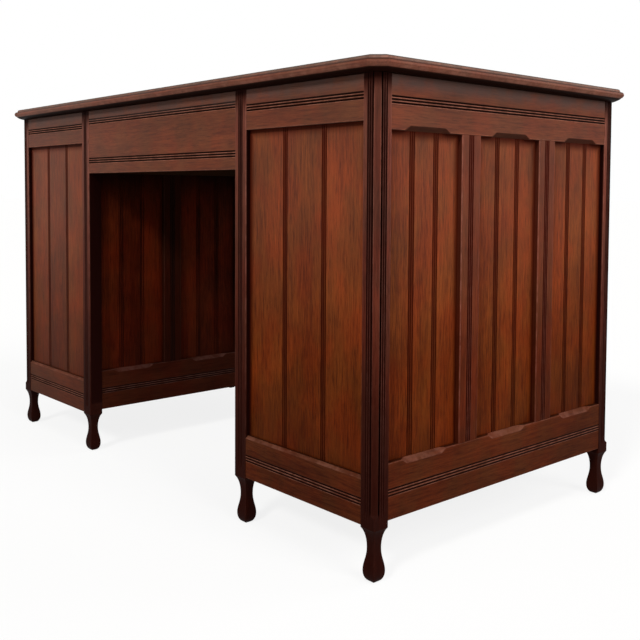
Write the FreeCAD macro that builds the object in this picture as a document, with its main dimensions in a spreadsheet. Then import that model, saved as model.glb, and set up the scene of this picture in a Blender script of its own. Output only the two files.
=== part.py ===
import FreeCAD, Part
import Sketcher
import math
import os
from FreeCAD import Placement, Rotation, Vector

# A panelled kneehole writing desk: two pedestals of drawers under one moulded top.
# X runs along the desk, Y from the sitter's side (front) to the panelled back, Z up.
# The origin lies on the floor under the middle of the desk. Millimetres.

SIZES = {
    # the carcass and its posts
    "carcass_length": 1207,
    "carcass_depth": 620,
    "carcass_height": 735,
    "kneehole_width": 530,
    "outer_post_width": 29,
    "inner_post_width": 30.5,
    "post_depth": 29,
    "post_cant": 8,
    # the legs, band-sawn from the lower ends of the posts
    "shoulder_height": 80,
    "neck_height": 50,
    "neck_width": 15.2,
    "foot_height": 16,
    "foot_width": 24,
    "sole_width": 7,
    # the fine grooves that are cut in threes along posts, rails and board joints
    "reed_pitch": 4.5,
    "reed_radius": 1.25,
    "post_reed_floor": 97,
    # frames and boards
    "rail_setback": 1,
    "rail_thickness": 22,
    "muntin_width": 45,
    "board_recess": 8,
    "board_thickness": 9,
    "board_housing": 5,
    "board_tongue": 3,
    "tenon_length": 9.5,
    "tenon_shoulder": 6,
    "joint_clearance": 0.2,
    "side_rail_floor": 89,
    "side_top_rail_height": 79.5,
    "side_bottom_rail_height": 84.5,
    "side_top_reed_drop": 36.5,
    "side_bottom_reed_rise": 40.8,
    "back_rail_floor": 82,
    "back_top_rail_height": 67,
    "back_bottom_rail_height": 72,
    "back_top_reed_drop": 30.7,
    "back_bottom_reed_rise": 34.5,
    "back_rail_bevel": 4,
    "chamfer_rise": 7,
    "chamfer_margin": 26,
    "chamfer_stop": 16,
    "frieze_height": 132,
    "frieze_reed_drop": 22.8,
    "frieze_reed_rise": 26.7,
    # the sitter's side
    "front_top_rail_height": 15,
    "divider_height": 18,
    "divider_depth": 60,
    "front_bottom_rail_height": 36,
    "runner_width": 16,
    "guide_height": 22,
    "stop_length": 38,
    "stop_width": 11,
    "stop_height": 6,
    "glue_block_leg": 14,
    "glue_block_length": 60,
    # drawers
    "drawer_gap": 1.2,
    "running_gap": 0.3,
    "drawer_front_thickness": 20,
    "drawer_lap": 12,
    "drawer_side_thickness": 10,
    "drawer_side_drop": 6,
    "drawer_back_thickness": 9,
    "drawer_back_drop": 8,
    "drawer_bottom_thickness": 6,
    "drawer_bottom_rise": 9,
    "drawer_bottom_housing": 4,
    "drawer_rear_gap": 12,
    "drawer_reed_margin": 15,
    "dovetail_width": 22,
    "dovetail_taper": 3,
    # brass
    "pull_spacing": 80,
    "pull_drop": 6,
    "centre_pull_offset": 140,
    "rosette_radius": 12,
    "rosette_thickness": 2.2,
    "pull_stem_radius": 4.6,
    "pull_stem_length": 15,
    "pull_bolt_radius": 2,
    "pull_nut_radius": 5,
    "pull_nut_thickness": 3.5,
    "bail_radius": 2.6,
    "bail_pin_radius": 1.7,
    "bail_pin_gap": 0.08,
    "bail_drop": 27,
    "bail_bend_radius": 9,
    "bail_spread": 3,
    "escutcheon_radius": 9,
    "escutcheon_thickness": 1.4,
    "keyhole_radius": 2.4,
    "keyhole_slot_width": 2.2,
    "keyhole_slot_length": 7,
    "keyhole_drop": 33,
    "lock_width": 44,
    "lock_height": 46,
    "lock_thickness": 9,
    # the top
    "top_thickness": 23,
    "top_overhang": 21,
    "top_canted_corner": 22,
    "cove_margin": 1,
    "cove_rise": 6,
    "nose_inset": 5,
    "nose_rise": 11.2,
    "nose_return": 3.6,
    "quirk_width": 2.4,
    "quirk_rise": 1,
    "ovolo_width": 4.5,
    "leather_margin": 78,
    "leather_recess": 2,
    "leather_thickness": 1.8,
    "leather_clearance": 0.3,
    # how far a cutter runs past what it cuts
    "overrun": 5,
}

LOW_DRAWER_SHARE = 0.56
COVE_MIDDLE_SHARES = (0.28, 0.62)
NOSE_MIDDLE_SHARE = 0.45
OVOLO_MIDDLE_SHARE = 0.70710678
SHOULDER_CURVE_SHARES = (0.55, 0.15, 0.5)
BULB_CURVE_SHARES = (0.45, 0.35)
SOLE_CURVE_SHARE = 0.55
FIELDS = 3
BOARDS = 3
REEDS = (-1, 0, 1)

doc = FreeCAD.newDocument("writing_desk")
sheet = doc.addObject("Spreadsheet::Sheet", "Sizes")
for row, (alias, value) in enumerate(SIZES.items(), start=1):
    sheet.set(f"A{row}", alias)
    sheet.set(f"B{row}", str(value))
    sheet.setAlias(f"B{row}", alias)
doc.recompute()


def size(alias):
    return float(sheet.get(alias))


# Places that many pieces share, written once as expressions on the sheet.
END = "(Sizes.carcass_length / 2)"
BACK = "(Sizes.carcass_depth / 2)"
KNEE = "(Sizes.kneehole_width / 2)"
TOP = "Sizes.carcass_height"
FACE = "Sizes.rail_setback"
FRAME_BACK = "(Sizes.rail_setback + Sizes.rail_thickness)"
BOARD_FACE = "(Sizes.rail_setback + Sizes.board_recess)"
BOARD_BACK = "(Sizes.rail_setback + Sizes.board_recess + Sizes.board_thickness)"
SIDE_START = f"(-{BACK} + Sizes.post_depth)"
SIDE_SPAN = "(Sizes.carcass_depth - 2 * Sizes.post_depth)"
BAY_START = f"(-{END} + Sizes.outer_post_width)"
BAY_SPAN = f"({END} - Sizes.outer_post_width - {KNEE} - Sizes.inner_post_width)"
SIDE_FIELD_LOW = "(Sizes.side_rail_floor + Sizes.side_bottom_rail_height)"
SIDE_FIELD_HIGH = f"({TOP} - Sizes.side_top_rail_height)"
BACK_FIELD_LOW = "(Sizes.back_rail_floor + Sizes.back_bottom_rail_height)"
BACK_FIELD_HIGH = f"({TOP} - Sizes.back_top_rail_height)"
FRIEZE_LOW = f"({TOP} - Sizes.frieze_height)"
TOP_ROW_LOW = f"({FRIEZE_LOW} + Sizes.divider_height)"
TOP_ROW_HIGH = f"({TOP} - Sizes.front_top_rail_height)"
LOW_ROW_LOW = "(Sizes.back_rail_floor + Sizes.front_bottom_rail_height)"
LOWER_ROWS = f"({FRIEZE_LOW} - {LOW_ROW_LOW} - Sizes.divider_height)"
LOW_ROW_HIGH = f"({LOW_ROW_LOW} + {LOWER_ROWS} * {LOW_DRAWER_SHARE})"
MIDDLE_ROW_LOW = f"({LOW_ROW_HIGH} + Sizes.divider_height)"
FRONT_BACK = f"({FACE} + Sizes.drawer_front_thickness)"

SPIN = {
    "x": Rotation(Vector(0, 1, 0), 90),
    "y": Rotation(Vector(1, 0, 0), -90),
    "z": Rotation(),
}


def bind(item, **expressions):
    for name, expression in expressions.items():
        item.setExpression(name, expression)
    return item


def put(item, low):
    for axis, expression in zip("xyz", low):
        item.setExpression(f".Placement.Base.{axis}", expression)
    return item


def block(name, low, extent):
    item = doc.addObject("Part::Box", name)
    bind(item, Length=extent[0], Width=extent[1], Height=extent[2])
    return put(item, low)


def rod(name, axis, start, radius, length):
    item = doc.addObject("Part::Cylinder", name)
    item.Placement = Placement(Vector(), SPIN[axis])
    bind(item, Radius=radius, Height=length)
    return put(item, start)


def group(name, items):
    item = doc.addObject("Part::Compound", name)
    item.Links = items
    return item


def joined(name, items):
    item = doc.addObject("Part::MultiFuse", name)
    item.Shapes = items
    item.Refine = True
    return item


def cut(name, base, tools):
    item = doc.addObject("Part::Cut", name)
    item.Base = base
    item.Tool = tools[0] if len(tools) == 1 else group(f"{name}_cutters", tools)
    return item


def mirrored(name, source, at="0"):
    item = doc.addObject("Part::Mirroring", name)
    item.Source = source
    item.Normal = Vector(1, 0, 0)
    item.setExpression("Base.x", at)
    return item


def solid(name, shape):
    item = doc.addObject("Part::Feature", name)
    item.Shape = shape
    item.Placement = Placement()
    return item


def wall_place(wall, along, near, far, up):
    if wall == "side":
        return (f"-{END} + {near}", along, up)
    if wall == "back":
        return (along, f"{BACK} - ({far})", up)
    return (along, f"-{BACK} + {near}", up)


def wall_box(name, wall, along, depth, up):
    """A block in the left end wall, the back or the front: depth counts in from the posts' faces."""
    near, far = depth
    thickness = f"{far} - ({near})"
    low = wall_place(wall, along[0], near, far, up[0])
    if wall == "side":
        return block(name, low, (thickness, along[1], up[1]))
    return block(name, low, (along[1], thickness, up[1]))


def wall_axis(wall):
    return "y" if wall == "side" else "x"


def level_reeds(name, wall, along, depth, middle):
    """Three level grooves round a middle height."""
    grooves = []
    for step in REEDS:
        height = f"{middle} + {step} * Sizes.reed_pitch"
        start = wall_place(wall, f"{along[0]} - Sizes.overrun", depth, depth, height)
        length = f"{along[1]} + 2 * Sizes.overrun"
        grooves.append(
            rod(f"{name}_{step + 1}", wall_axis(wall), start, "Sizes.reed_radius", length)
        )
    return grooves


def upright_reeds(name, wall, middle, depth, up):
    """Three upright grooves round a middle line."""
    grooves = []
    for step in REEDS:
        along = f"{middle} + {step} * Sizes.reed_pitch"
        start = wall_place(wall, along, depth, depth, up[0])
        grooves.append(rod(f"{name}_{step + 1}", "z", start, "Sizes.reed_radius", up[1]))
    return grooves


def tenons(name, wall, along, up, slack="0"):
    """The stub tenons at both ends of a rail, or, with slack, the mortises that take them."""
    length = f"(Sizes.tenon_length + {slack})"
    depth = (BOARD_FACE, f"{BOARD_BACK} + {slack}")
    rise = f"(Sizes.tenon_shoulder - {slack})"
    reach = (f"{up[0]} + {rise}", f"{up[1]} - 2 * {rise}")
    low = (f"{along[0]} - {length}", length)
    high = (f"{along[0]} + {along[1]}", length)
    return [
        wall_box(f"{name}_tenon_low", wall, low, depth, reach),
        wall_box(f"{name}_tenon_high", wall, high, depth, reach),
    ]


def rail(name, wall, along, depth, up):
    body = wall_box(f"{name}_stock", wall, along, depth, up)
    return joined(name, [body] + tenons(name, wall, along, up))


# The panelled walls: boards with beaded joints stand in grooved frames.

def panel_cutter(name, wall, along, up):
    """The room that one field of boards needs in the frame round it."""
    room = "(Sizes.board_housing + Sizes.joint_clearance)"
    return wall_box(
        name,
        wall,
        (f"{along[0]} - {room}", f"{along[1]} + 2 * {room}"),
        (BOARD_FACE, f"{BOARD_BACK} + Sizes.joint_clearance"),
        (f"{up[0]} - {room}", f"{up[1]} + 2 * {room}"),
    )


def boards(name, wall, along, up):
    """One field of three tongued boards, and the grooves that bead their joints."""
    start, width = along
    pitch = f"{width} / {BOARDS}"
    rise = (f"{up[0]} - Sizes.board_housing", f"{up[1]} + 2 * Sizes.board_housing")
    tongue_depth = (
        f"{BOARD_FACE} + (Sizes.board_thickness - Sizes.board_tongue) / 2",
        f"{BOARD_FACE} + (Sizes.board_thickness + Sizes.board_tongue) / 2",
    )
    planks = []
    for number in range(BOARDS):
        low = f"{start} + {number} * {pitch}"
        length = f"{pitch} - Sizes.joint_clearance"
        first = number == 0
        last = number == BOARDS - 1
        if first:
            low = f"{low} - Sizes.board_housing"
            length = f"{length} + Sizes.board_housing"
        if last:
            length = f"{length} + Sizes.board_housing + Sizes.joint_clearance"
        plank = wall_box(f"{name}_{number}_stock", wall, (low, length), (BOARD_FACE, BOARD_BACK), rise)
        if not last:
            edge = f"{start} + {number + 1} * {pitch} - 2 * Sizes.joint_clearance"
            reach = (edge, "Sizes.board_tongue + 2 * Sizes.joint_clearance")
            tongue = wall_box(f"{name}_{number}_tongue", wall, reach, tongue_depth, rise)
            plank = joined(f"{name}_{number}_tongued", [plank, tongue])
        if not first:
            slot_depth = (
                f"{tongue_depth[0]} - Sizes.joint_clearance",
                f"{tongue_depth[1]} + Sizes.joint_clearance",
            )
            slot = (low, "Sizes.board_tongue + Sizes.joint_clearance")
            slot = wall_box(f"{name}_{number}_slot", wall, slot, slot_depth, rise)
            plank = cut(f"{name}_{number}_slotted", plank, [slot])
        planks.append(plank)
    grooves = []
    for number in range(1, BOARDS):
        joint = f"{start} + {number} * {pitch} - Sizes.joint_clearance / 2"
        grooves += upright_reeds(f"{name}_joint_{number}", wall, joint, BOARD_FACE, rise)
    return planks, grooves


def tongue_stop(length, rise):
    """The S-shaped end of a stopped chamfer: two equal arcs, level at both ends."""
    radius = (length**2 + rise**2) / (4 * rise)
    sweep = math.asin(length / (2 * radius)) / 2
    out = radius * math.sin(sweep)
    up = radius * (1 - math.cos(sweep))
    points = [(0, 0), (out, up), (length / 2, rise / 2), (length - out, rise - up), (length, rise)]
    return points


def stopped_chamfer(name, start, width, edge, upward):
    """What a stopped chamfer takes off the end wall's rail over or under one field."""
    rise = size("chamfer_rise")
    depth = size("board_recess")
    margin = size("chamfer_margin")
    stop = size("chamfer_stop")
    overrun = size("overrun")
    side = 1 if upward else -1
    x = -size("carcass_length") / 2 + size("rail_setback")

    def at(along, climb):
        return Vector(x, along, edge + side * climb)

    low = start + margin
    high = start + width - margin
    shape = tongue_stop(stop, rise)
    first = [at(low + along, climb) for along, climb in shape]
    second = [at(high - along, climb) for along, climb in reversed(shape)]
    edges = [
        Part.Arc(first[0], first[1], first[2]).toShape(),
        Part.Arc(first[2], first[3], first[4]).toShape(),
        Part.makeLine(first[4], second[0]),
        Part.Arc(second[0], second[1], second[2]).toShape(),
        Part.Arc(second[2], second[3], second[4]).toShape(),
        Part.makeLine(second[4], at(high, -overrun)),
        Part.makeLine(at(high, -overrun), at(low, -overrun)),
        Part.makeLine(at(low, -overrun), first[0]),
    ]
    face = Part.Face(Part.Wire(edges))
    slope = Vector(depth, 0, -side * rise)
    return solid(name, face.extrude(slope))


def field_places():
    width = (size("carcass_depth") - 2 * size("post_depth") - (FIELDS - 1) * size("muntin_width")) / FIELDS
    start = -size("carcass_depth") / 2 + size("post_depth")
    return [(start + number * (width + size("muntin_width")), width) for number in range(FIELDS)]


# The left end wall. The other three end walls are mirrored from it.

FIELD_WIDTH = f"(({SIDE_SPAN} - {FIELDS - 1} * Sizes.muntin_width) / {FIELDS})"
FIELD_UP = (SIDE_FIELD_LOW, f"({SIDE_FIELD_HIGH} - {SIDE_FIELD_LOW})")
SIDE_TOP_UP = (SIDE_FIELD_HIGH, "Sizes.side_top_rail_height")
SIDE_BOTTOM_UP = ("Sizes.side_rail_floor", "Sizes.side_bottom_rail_height")
SIDE_ALONG = (SIDE_START, SIDE_SPAN)
FRAME_DEPTH = (FACE, FRAME_BACK)
SLACK = "Sizes.joint_clearance"

side_cutters = []
side_planks = []
side_grooves = []
for number in range(FIELDS):
    low = f"({SIDE_START} + {number} * ({FIELD_WIDTH} + Sizes.muntin_width))"
    side_cutters.append(panel_cutter(f"side_panel_room_{number}", "side", (low, FIELD_WIDTH), FIELD_UP))
    planks, grooves = boards(f"side_board_{number}", "side", (low, FIELD_WIDTH), FIELD_UP)
    side_planks += planks
    side_grooves += grooves

muntin_stock = []
muntin_mortises = []
muntin_reeds = []
for number in range(1, FIELDS):
    low = f"({SIDE_START} + {number} * ({FIELD_WIDTH} + Sizes.muntin_width) - Sizes.muntin_width)"
    stock = wall_box(f"muntin_{number}_stock", "side", (low, "Sizes.muntin_width"), FRAME_DEPTH, FIELD_UP)
    narrow = (f"{low} + Sizes.tenon_shoulder", "Sizes.muntin_width - 2 * Sizes.tenon_shoulder")
    depth = (BOARD_FACE, BOARD_BACK)
    reach = "Sizes.tenon_length"
    long_up = (f"{SIDE_FIELD_LOW} - {reach}", f"{FIELD_UP[1]} + 2 * {reach}")
    muntin = joined(f"muntin_{number}", [stock, wall_box(f"muntin_{number}_tenons", "side", narrow, depth, long_up)])
    muntin_stock.append(muntin)
    wide = (f"{narrow[0]} - {SLACK}", f"{narrow[1]} + 2 * {SLACK}")
    deep = (BOARD_FACE, f"{BOARD_BACK} + {SLACK}")
    tall = (f"{long_up[0]} - {SLACK}", f"{long_up[1]} + 2 * {SLACK}")
    muntin_mortises.append(wall_box(f"muntin_{number}_mortises", "side", wide, deep, tall))
    middle = f"{low} + Sizes.muntin_width / 2"
    muntin_reeds += upright_reeds(f"muntin_{number}_reed", "side", middle, FACE, FIELD_UP)

side_mortises = tenons("side_top_mortise", "side", SIDE_ALONG, SIDE_TOP_UP, SLACK)
side_mortises += tenons("side_bottom_mortise", "side", SIDE_ALONG, SIDE_BOTTOM_UP, SLACK)
side_rooms = group("side_rooms", side_cutters + side_mortises)

chamfers = []
field_low = size("side_rail_floor") + size("side_bottom_rail_height")
field_high = size("carcass_height") - size("side_top_rail_height")
for number, (start, width) in enumerate(field_places()):
    chamfers.append(stopped_chamfer(f"top_chamfer_{number}", start, width, field_high, True))
    chamfers.append(stopped_chamfer(f"bottom_chamfer_{number}", start, width, field_low, False))

side_rail_reeds = level_reeds("side_top_reed", "side", SIDE_ALONG, FACE, f"{TOP} - Sizes.side_top_reed_drop")
side_rail_reeds += level_reeds(
    "side_bottom_reed", "side", SIDE_ALONG, FACE, "Sizes.side_rail_floor + Sizes.side_bottom_reed_rise"
)
side_rail_stock = group(
    "side_rail_stock",
    [
        rail("side_top_rail", "side", SIDE_ALONG, FRAME_DEPTH, SIDE_TOP_UP),
        rail("side_bottom_rail", "side", SIDE_ALONG, FRAME_DEPTH, SIDE_BOTTOM_UP),
    ],
)

nodes = {}
nodes["left_side_rails"] = cut(
    "left_side_rails",
    side_rail_stock,
    side_cutters + muntin_mortises + chamfers + side_rail_reeds,
)
nodes["left_side_muntins"] = cut(
    "left_side_muntins", group("muntin_pair", muntin_stock), side_cutters + muntin_reeds
)
nodes["left_side_boards"] = cut("left_side_boards", group("side_planks", side_planks), side_grooves)

PEDESTAL_MIDDLE = f"-({END} + {KNEE}) / 2"
nodes["left_kneehole_frame"] = mirrored(
    "left_kneehole_frame",
    group("kneehole_frame_stock", [nodes["left_side_rails"], nodes["left_side_muntins"]]),
    PEDESTAL_MIDDLE,
)
nodes["left_kneehole_boards"] = mirrored(
    "left_kneehole_boards", nodes["left_side_boards"], PEDESTAL_MIDDLE
)
knee_rooms = mirrored("knee_rooms", side_rooms, PEDESTAL_MIDDLE)

# The back of a pedestal, and the frieze over the kneehole.

BAY_ALONG = (BAY_START, BAY_SPAN)
BACK_UP = (BACK_FIELD_LOW, f"({BACK_FIELD_HIGH} - {BACK_FIELD_LOW})")
BACK_TOP_UP = (BACK_FIELD_HIGH, "Sizes.back_top_rail_height")
BACK_BOTTOM_UP = ("Sizes.back_rail_floor", "Sizes.back_bottom_rail_height")
KNEE_ALONG = (f"-{KNEE}", "Sizes.kneehole_width")
FRIEZE_UP = (FRIEZE_LOW, "Sizes.frieze_height")

back_cutter = panel_cutter("back_panel_room", "back", BAY_ALONG, BACK_UP)
back_planks, back_grooves = boards("back_board", "back", BAY_ALONG, BACK_UP)
back_mortises = tenons("back_top_mortise", "back", BAY_ALONG, BACK_TOP_UP, SLACK)
back_mortises += tenons("back_bottom_mortise", "back", BAY_ALONG, BACK_BOTTOM_UP, SLACK)
back_rooms = group("back_rooms", [back_cutter] + back_mortises)
frieze_rooms = group("frieze_rooms", tenons("frieze_mortise", "back", KNEE_ALONG, FRIEZE_UP, SLACK))

back_rail_reeds = level_reeds("back_top_reed", "back", BAY_ALONG, FACE, f"{TOP} - Sizes.back_top_reed_drop")
back_rail_reeds += level_reeds(
    "back_bottom_reed", "back", BAY_ALONG, FACE, "Sizes.back_rail_floor + Sizes.back_bottom_reed_rise"
)
bevel = doc.addObject("Part::Box", "back_rail_bevel_cutter")
bevel.Placement = Placement(Vector(), Rotation(Vector(1, 0, 0), 45))
bind(
    bevel,
    Length=f"{BAY_SPAN} + 2 * Sizes.overrun",
    Width="2 * Sizes.back_rail_bevel",
    Height="2 * Sizes.back_rail_bevel",
)
put(
    bevel,
    (f"{BAY_START} - Sizes.overrun", f"{BACK} - {FACE}", f"{BACK_FIELD_LOW} - Sizes.back_rail_bevel"),
)
back_rail_stock = group(
    "back_rail_stock",
    [
        rail("back_top_rail", "back", BAY_ALONG, FRAME_DEPTH, BACK_TOP_UP),
        rail("back_bottom_rail", "back", BAY_ALONG, FRAME_DEPTH, BACK_BOTTOM_UP),
    ],
)
nodes["left_back_rails"] = cut(
    "left_back_rails", back_rail_stock, [back_cutter, bevel] + back_rail_reeds
)
nodes["left_back_boards"] = cut("left_back_boards", group("back_planks", back_planks), back_grooves)

frieze_reeds = level_reeds("frieze_top_reed", "back", KNEE_ALONG, FACE, f"{TOP} - Sizes.frieze_reed_drop")
frieze_reeds += level_reeds(
    "frieze_low_reed", "back", KNEE_ALONG, FACE, f"{FRIEZE_LOW} + Sizes.frieze_reed_rise"
)
nodes["kneehole_back_frieze"] = cut(
    "kneehole_back_frieze", rail("frieze", "back", KNEE_ALONG, FRAME_DEPTH, FRIEZE_UP), frieze_reeds
)

# The rails between the drawers on the sitter's side, with the blocks that stop the drawers.

DIVIDER_FAR = f"({FACE} + Sizes.divider_depth)"
FRONT_RAILS = {
    "top": (TOP_ROW_HIGH, "Sizes.front_top_rail_height"),
    "upper": (FRIEZE_LOW, "Sizes.divider_height"),
    "lower": (LOW_ROW_HIGH, "Sizes.divider_height"),
    "bottom": ("Sizes.back_rail_floor", "Sizes.front_bottom_rail_height"),
}
TENON_THIN_SHARE = 0.25


def thin_tenons(name, along, up, slack="0"):
    """Tenons of the thin front rails: a share of the rail's height is left as shoulder."""
    length = f"(Sizes.tenon_length + {slack})"
    shoulder = f"({up[1]} * {TENON_THIN_SHARE} - {slack})"
    reach = (f"{up[0]} + {shoulder}", f"{up[1]} - 2 * {shoulder}")
    depth = (BOARD_FACE, f"{BOARD_BACK} + {slack}")
    low = (f"{along[0]} - {length}", length)
    high = (f"{along[0]} + {along[1]}", length)
    return [
        wall_box(f"{name}_low_tenon", "front", low, depth, reach),
        wall_box(f"{name}_high_tenon", "front", high, depth, reach),
    ]


def front_rail(name, along, up):
    stock = wall_box(f"{name}_stock", "front", along, (FACE, DIVIDER_FAR), up)
    return joined(name, [stock] + thin_tenons(name, along, up))


def drawer_stops(name, along, floor):
    """Two small blocks on a rail, which the back of the drawer front meets when it is shut."""
    depth = (f"{FRONT_BACK} + Sizes.running_gap", f"{FRONT_BACK} + Sizes.running_gap + Sizes.stop_width")
    up = (floor, "Sizes.stop_height")
    inset = "(Sizes.drawer_side_thickness + 2 * Sizes.stop_length)"
    low = (f"{along[0]} + {inset}", "Sizes.stop_length")
    high = (f"{along[0]} + {along[1]} - {inset} - Sizes.stop_length", "Sizes.stop_length")
    return [
        wall_box(f"{name}_stop_low", "front", low, depth, up),
        wall_box(f"{name}_stop_high", "front", high, depth, up),
    ]


front_mortises = []
bay_front = []
for label, up in FRONT_RAILS.items():
    front_mortises += thin_tenons(f"bay_{label}_mortise", BAY_ALONG, up, SLACK)
    stock = front_rail(f"bay_{label}_rail", BAY_ALONG, up)
    if label != "top":
        floor = f"{up[0]} + {up[1]}"
        stock = joined(f"bay_{label}_stopped", [stock] + drawer_stops(f"bay_{label}", BAY_ALONG, floor))
    bay_front.append(stock)
front_rooms = group("front_rooms", front_mortises)
nodes["left_front_rails"] = group("left_front_rails", bay_front)

knee_mortises = []
knee_front = []
for label in ("top", "upper"):
    up = FRONT_RAILS[label]
    knee_mortises += thin_tenons(f"knee_{label}_mortise", KNEE_ALONG, up, SLACK)
    stock = front_rail(f"knee_{label}_rail", KNEE_ALONG, up)
    if label == "upper":
        stock = joined("knee_upper_stopped", [stock] + drawer_stops("knee", KNEE_ALONG, TOP_ROW_LOW))
    knee_front.append(stock)
knee_front_rooms = group("knee_front_rooms", knee_mortises)
nodes["kneehole_front_rails"] = group("kneehole_front_rails", knee_front)

# The posts, each with its leg in one piece.


def leg_outline(half, place, top):
    """Half of a post's outline, from the sole up to the top, as edges in one plane."""
    neck = size("neck_width") / 2
    foot = size("foot_width") / 2
    sole = size("sole_width") / 2
    shoulder_z = size("shoulder_height")
    neck_z = size("neck_height")
    foot_z = size("foot_height")
    waist = neck_z - foot_z
    curl = shoulder_z - neck_z
    out_share, down_share, rise_share = SHOULDER_CURVE_SHARES
    leave_share, meet_share = BULB_CURVE_SHARES
    sole_curve = [
        (sole, 0),
        (sole + (foot - sole) * SOLE_CURVE_SHARE, 0),
        (foot, foot_z * (1 - SOLE_CURVE_SHARE)),
        (foot, foot_z),
    ]
    bulb_curve = [
        (foot, foot_z),
        (foot, foot_z + waist * meet_share),
        (neck, neck_z - waist * leave_share),
        (neck, neck_z),
    ]
    shoulder_curve = [
        (neck, neck_z),
        (neck, neck_z + curl * rise_share),
        (half - (half - neck) * out_share, shoulder_z - curl * down_share),
        (half, shoulder_z),
    ]
    edges = []
    for side in (1, -1):
        for points in (sole_curve, bulb_curve, shoulder_curve):
            curve = Part.BezierCurve()
            curve.setPoles([place(side * across, up) for across, up in points])
            edges.append(curve.toShape())
        edges.append(Part.makeLine(place(side * half, shoulder_z), place(side * half, top)))
    edges.append(Part.makeLine(place(half, top), place(-half, top)))
    edges.append(Part.makeLine(place(-sole, 0), place(sole, 0)))
    return Part.Face(Part.Wire(Part.__sortEdges__(edges)))


def post_stock(name, x, y, width, canted):
    """A square post whose leg is sawn to one outline from two sides; canted gives its outer corner."""
    top = size("carcass_height")
    depth = size("post_depth")
    overrun = size("overrun")
    front = leg_outline(width / 2, lambda across, up: Vector(x + across, y - depth / 2 - overrun, up), top)
    flank = leg_outline(depth / 2, lambda across, up: Vector(x - width / 2 - overrun, y + across, up), top)
    shape = front.extrude(Vector(0, depth + 2 * overrun, 0))
    shape = shape.common(flank.extrude(Vector(width + 2 * overrun, 0, 0)))
    if canted:
        leg = size("post_cant")
        floor = size("post_reed_floor")
        corner = Vector(x + canted[0] * width / 2, y + canted[1] * depth / 2, floor)
        points = [
            corner + Vector(canted[0] * overrun, canted[1] * overrun, 0),
            corner + Vector(canted[0] * overrun, -canted[1] * (leg + overrun), 0),
            corner + Vector(-canted[0] * (leg + overrun), canted[1] * overrun, 0),
        ]
        wedge = Part.Face(Part.makePolygon(points + points[:1]))
        shape = shape.cut(wedge.extrude(Vector(0, 0, top)))
    return solid(name, shape)


half_length = size("carcass_length") / 2
half_depth = size("carcass_depth") / 2
outer_x = -half_length + size("outer_post_width") / 2
inner_x = -size("kneehole_width") / 2 - size("inner_post_width") / 2
back_y = half_depth - size("post_depth") / 2
REED_UP = ("Sizes.post_reed_floor", f"{TOP} - Sizes.post_reed_floor + Sizes.overrun")
OUTER_POST_MIDDLE = f"-{END} + Sizes.outer_post_width / 2"
INNER_POST_MIDDLE = f"-{KNEE} - Sizes.inner_post_width / 2"

for end, y_side in (("back", 1), ("front", -1)):
    post_y = y_side * back_y
    corner = post_stock(
        f"{end}_corner_stock", outer_x, post_y, size("outer_post_width"), (-1, y_side)
    )
    middle = f"{y_side} * ({BACK} - Sizes.post_depth / 2)"
    reeds = upright_reeds(f"{end}_corner_reed", end, OUTER_POST_MIDDLE, "0", REED_UP)
    reeds += upright_reeds(f"{end}_corner_side_reed", "side", middle, "0", REED_UP)
    rooms = [side_rooms, back_rooms if end == "back" else front_rooms]
    nodes[f"left_{end}_corner_post"] = cut(f"left_{end}_corner_post", corner, rooms + reeds)

    inner = post_stock(f"{end}_inner_stock", inner_x, post_y, size("inner_post_width"), None)
    reeds = upright_reeds(f"{end}_inner_reed", end, INNER_POST_MIDDLE, "0", REED_UP)
    rooms = [knee_rooms]
    rooms += [back_rooms, frieze_rooms] if end == "back" else [front_rooms, knee_front_rooms]
    nodes[f"left_{end}_inner_post"] = cut(f"left_{end}_inner_post", inner, rooms + reeds)

# Runners that carry the drawers, and the glue blocks under the top.

RUNNER_Y = f"-{BACK} + {DIVIDER_FAR}"
RUNNER_LENGTH = f"(Sizes.carcass_depth - {DIVIDER_FAR} - Sizes.post_depth)"
ROWS = {
    "top": (TOP_ROW_LOW, f"({TOP_ROW_HIGH} - {TOP_ROW_LOW})"),
    "middle": (MIDDLE_ROW_LOW, f"({FRIEZE_LOW} - {MIDDLE_ROW_LOW})"),
    "bottom": (LOW_ROW_LOW, f"({LOW_ROW_HIGH} - {LOW_ROW_LOW})"),
}
runners = []
for label, (floor, _) in ROWS.items():
    sides = {
        "outer": (f"-{END} + {FRAME_BACK}", f"-{END} + Sizes.outer_post_width", 1),
        "inner": (f"-{KNEE} - {FRAME_BACK}", f"-{KNEE} - Sizes.inner_post_width", -1),
    }
    for where, (wall, post_face, inward) in sides.items():
        filler = f"({post_face} - ({wall})) * {inward}"
        low = wall if inward > 0 else f"{post_face} - Sizes.runner_width"
        bearer = block(
            f"{label}_{where}_bearer",
            (low, RUNNER_Y, f"{floor} - Sizes.divider_height"),
            (f"{filler} + Sizes.runner_width", RUNNER_LENGTH, "Sizes.divider_height"),
        )
        guide = block(
            f"{label}_{where}_guide",
            (wall if inward > 0 else post_face, RUNNER_Y, floor),
            (filler, RUNNER_LENGTH, "Sizes.guide_height"),
        )
        runners.append(joined(f"{label}_{where}_runner", [bearer, guide]))
left_runners = group("left_runners", runners)
nodes["drawer_runners"] = group(
    "drawer_runners", [left_runners, mirrored("right_runners", left_runners)]
)

centre_bearer = block(
    "centre_bearer",
    (f"-{KNEE} - {FACE}", RUNNER_Y, FRIEZE_LOW),
    (f"Sizes.runner_width + {FACE}", RUNNER_LENGTH, "Sizes.divider_height"),
)
nodes["centre_drawer_runners"] = group(
    "centre_drawer_runners", [centre_bearer, mirrored("right_centre_bearer", centre_bearer)]
)


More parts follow.
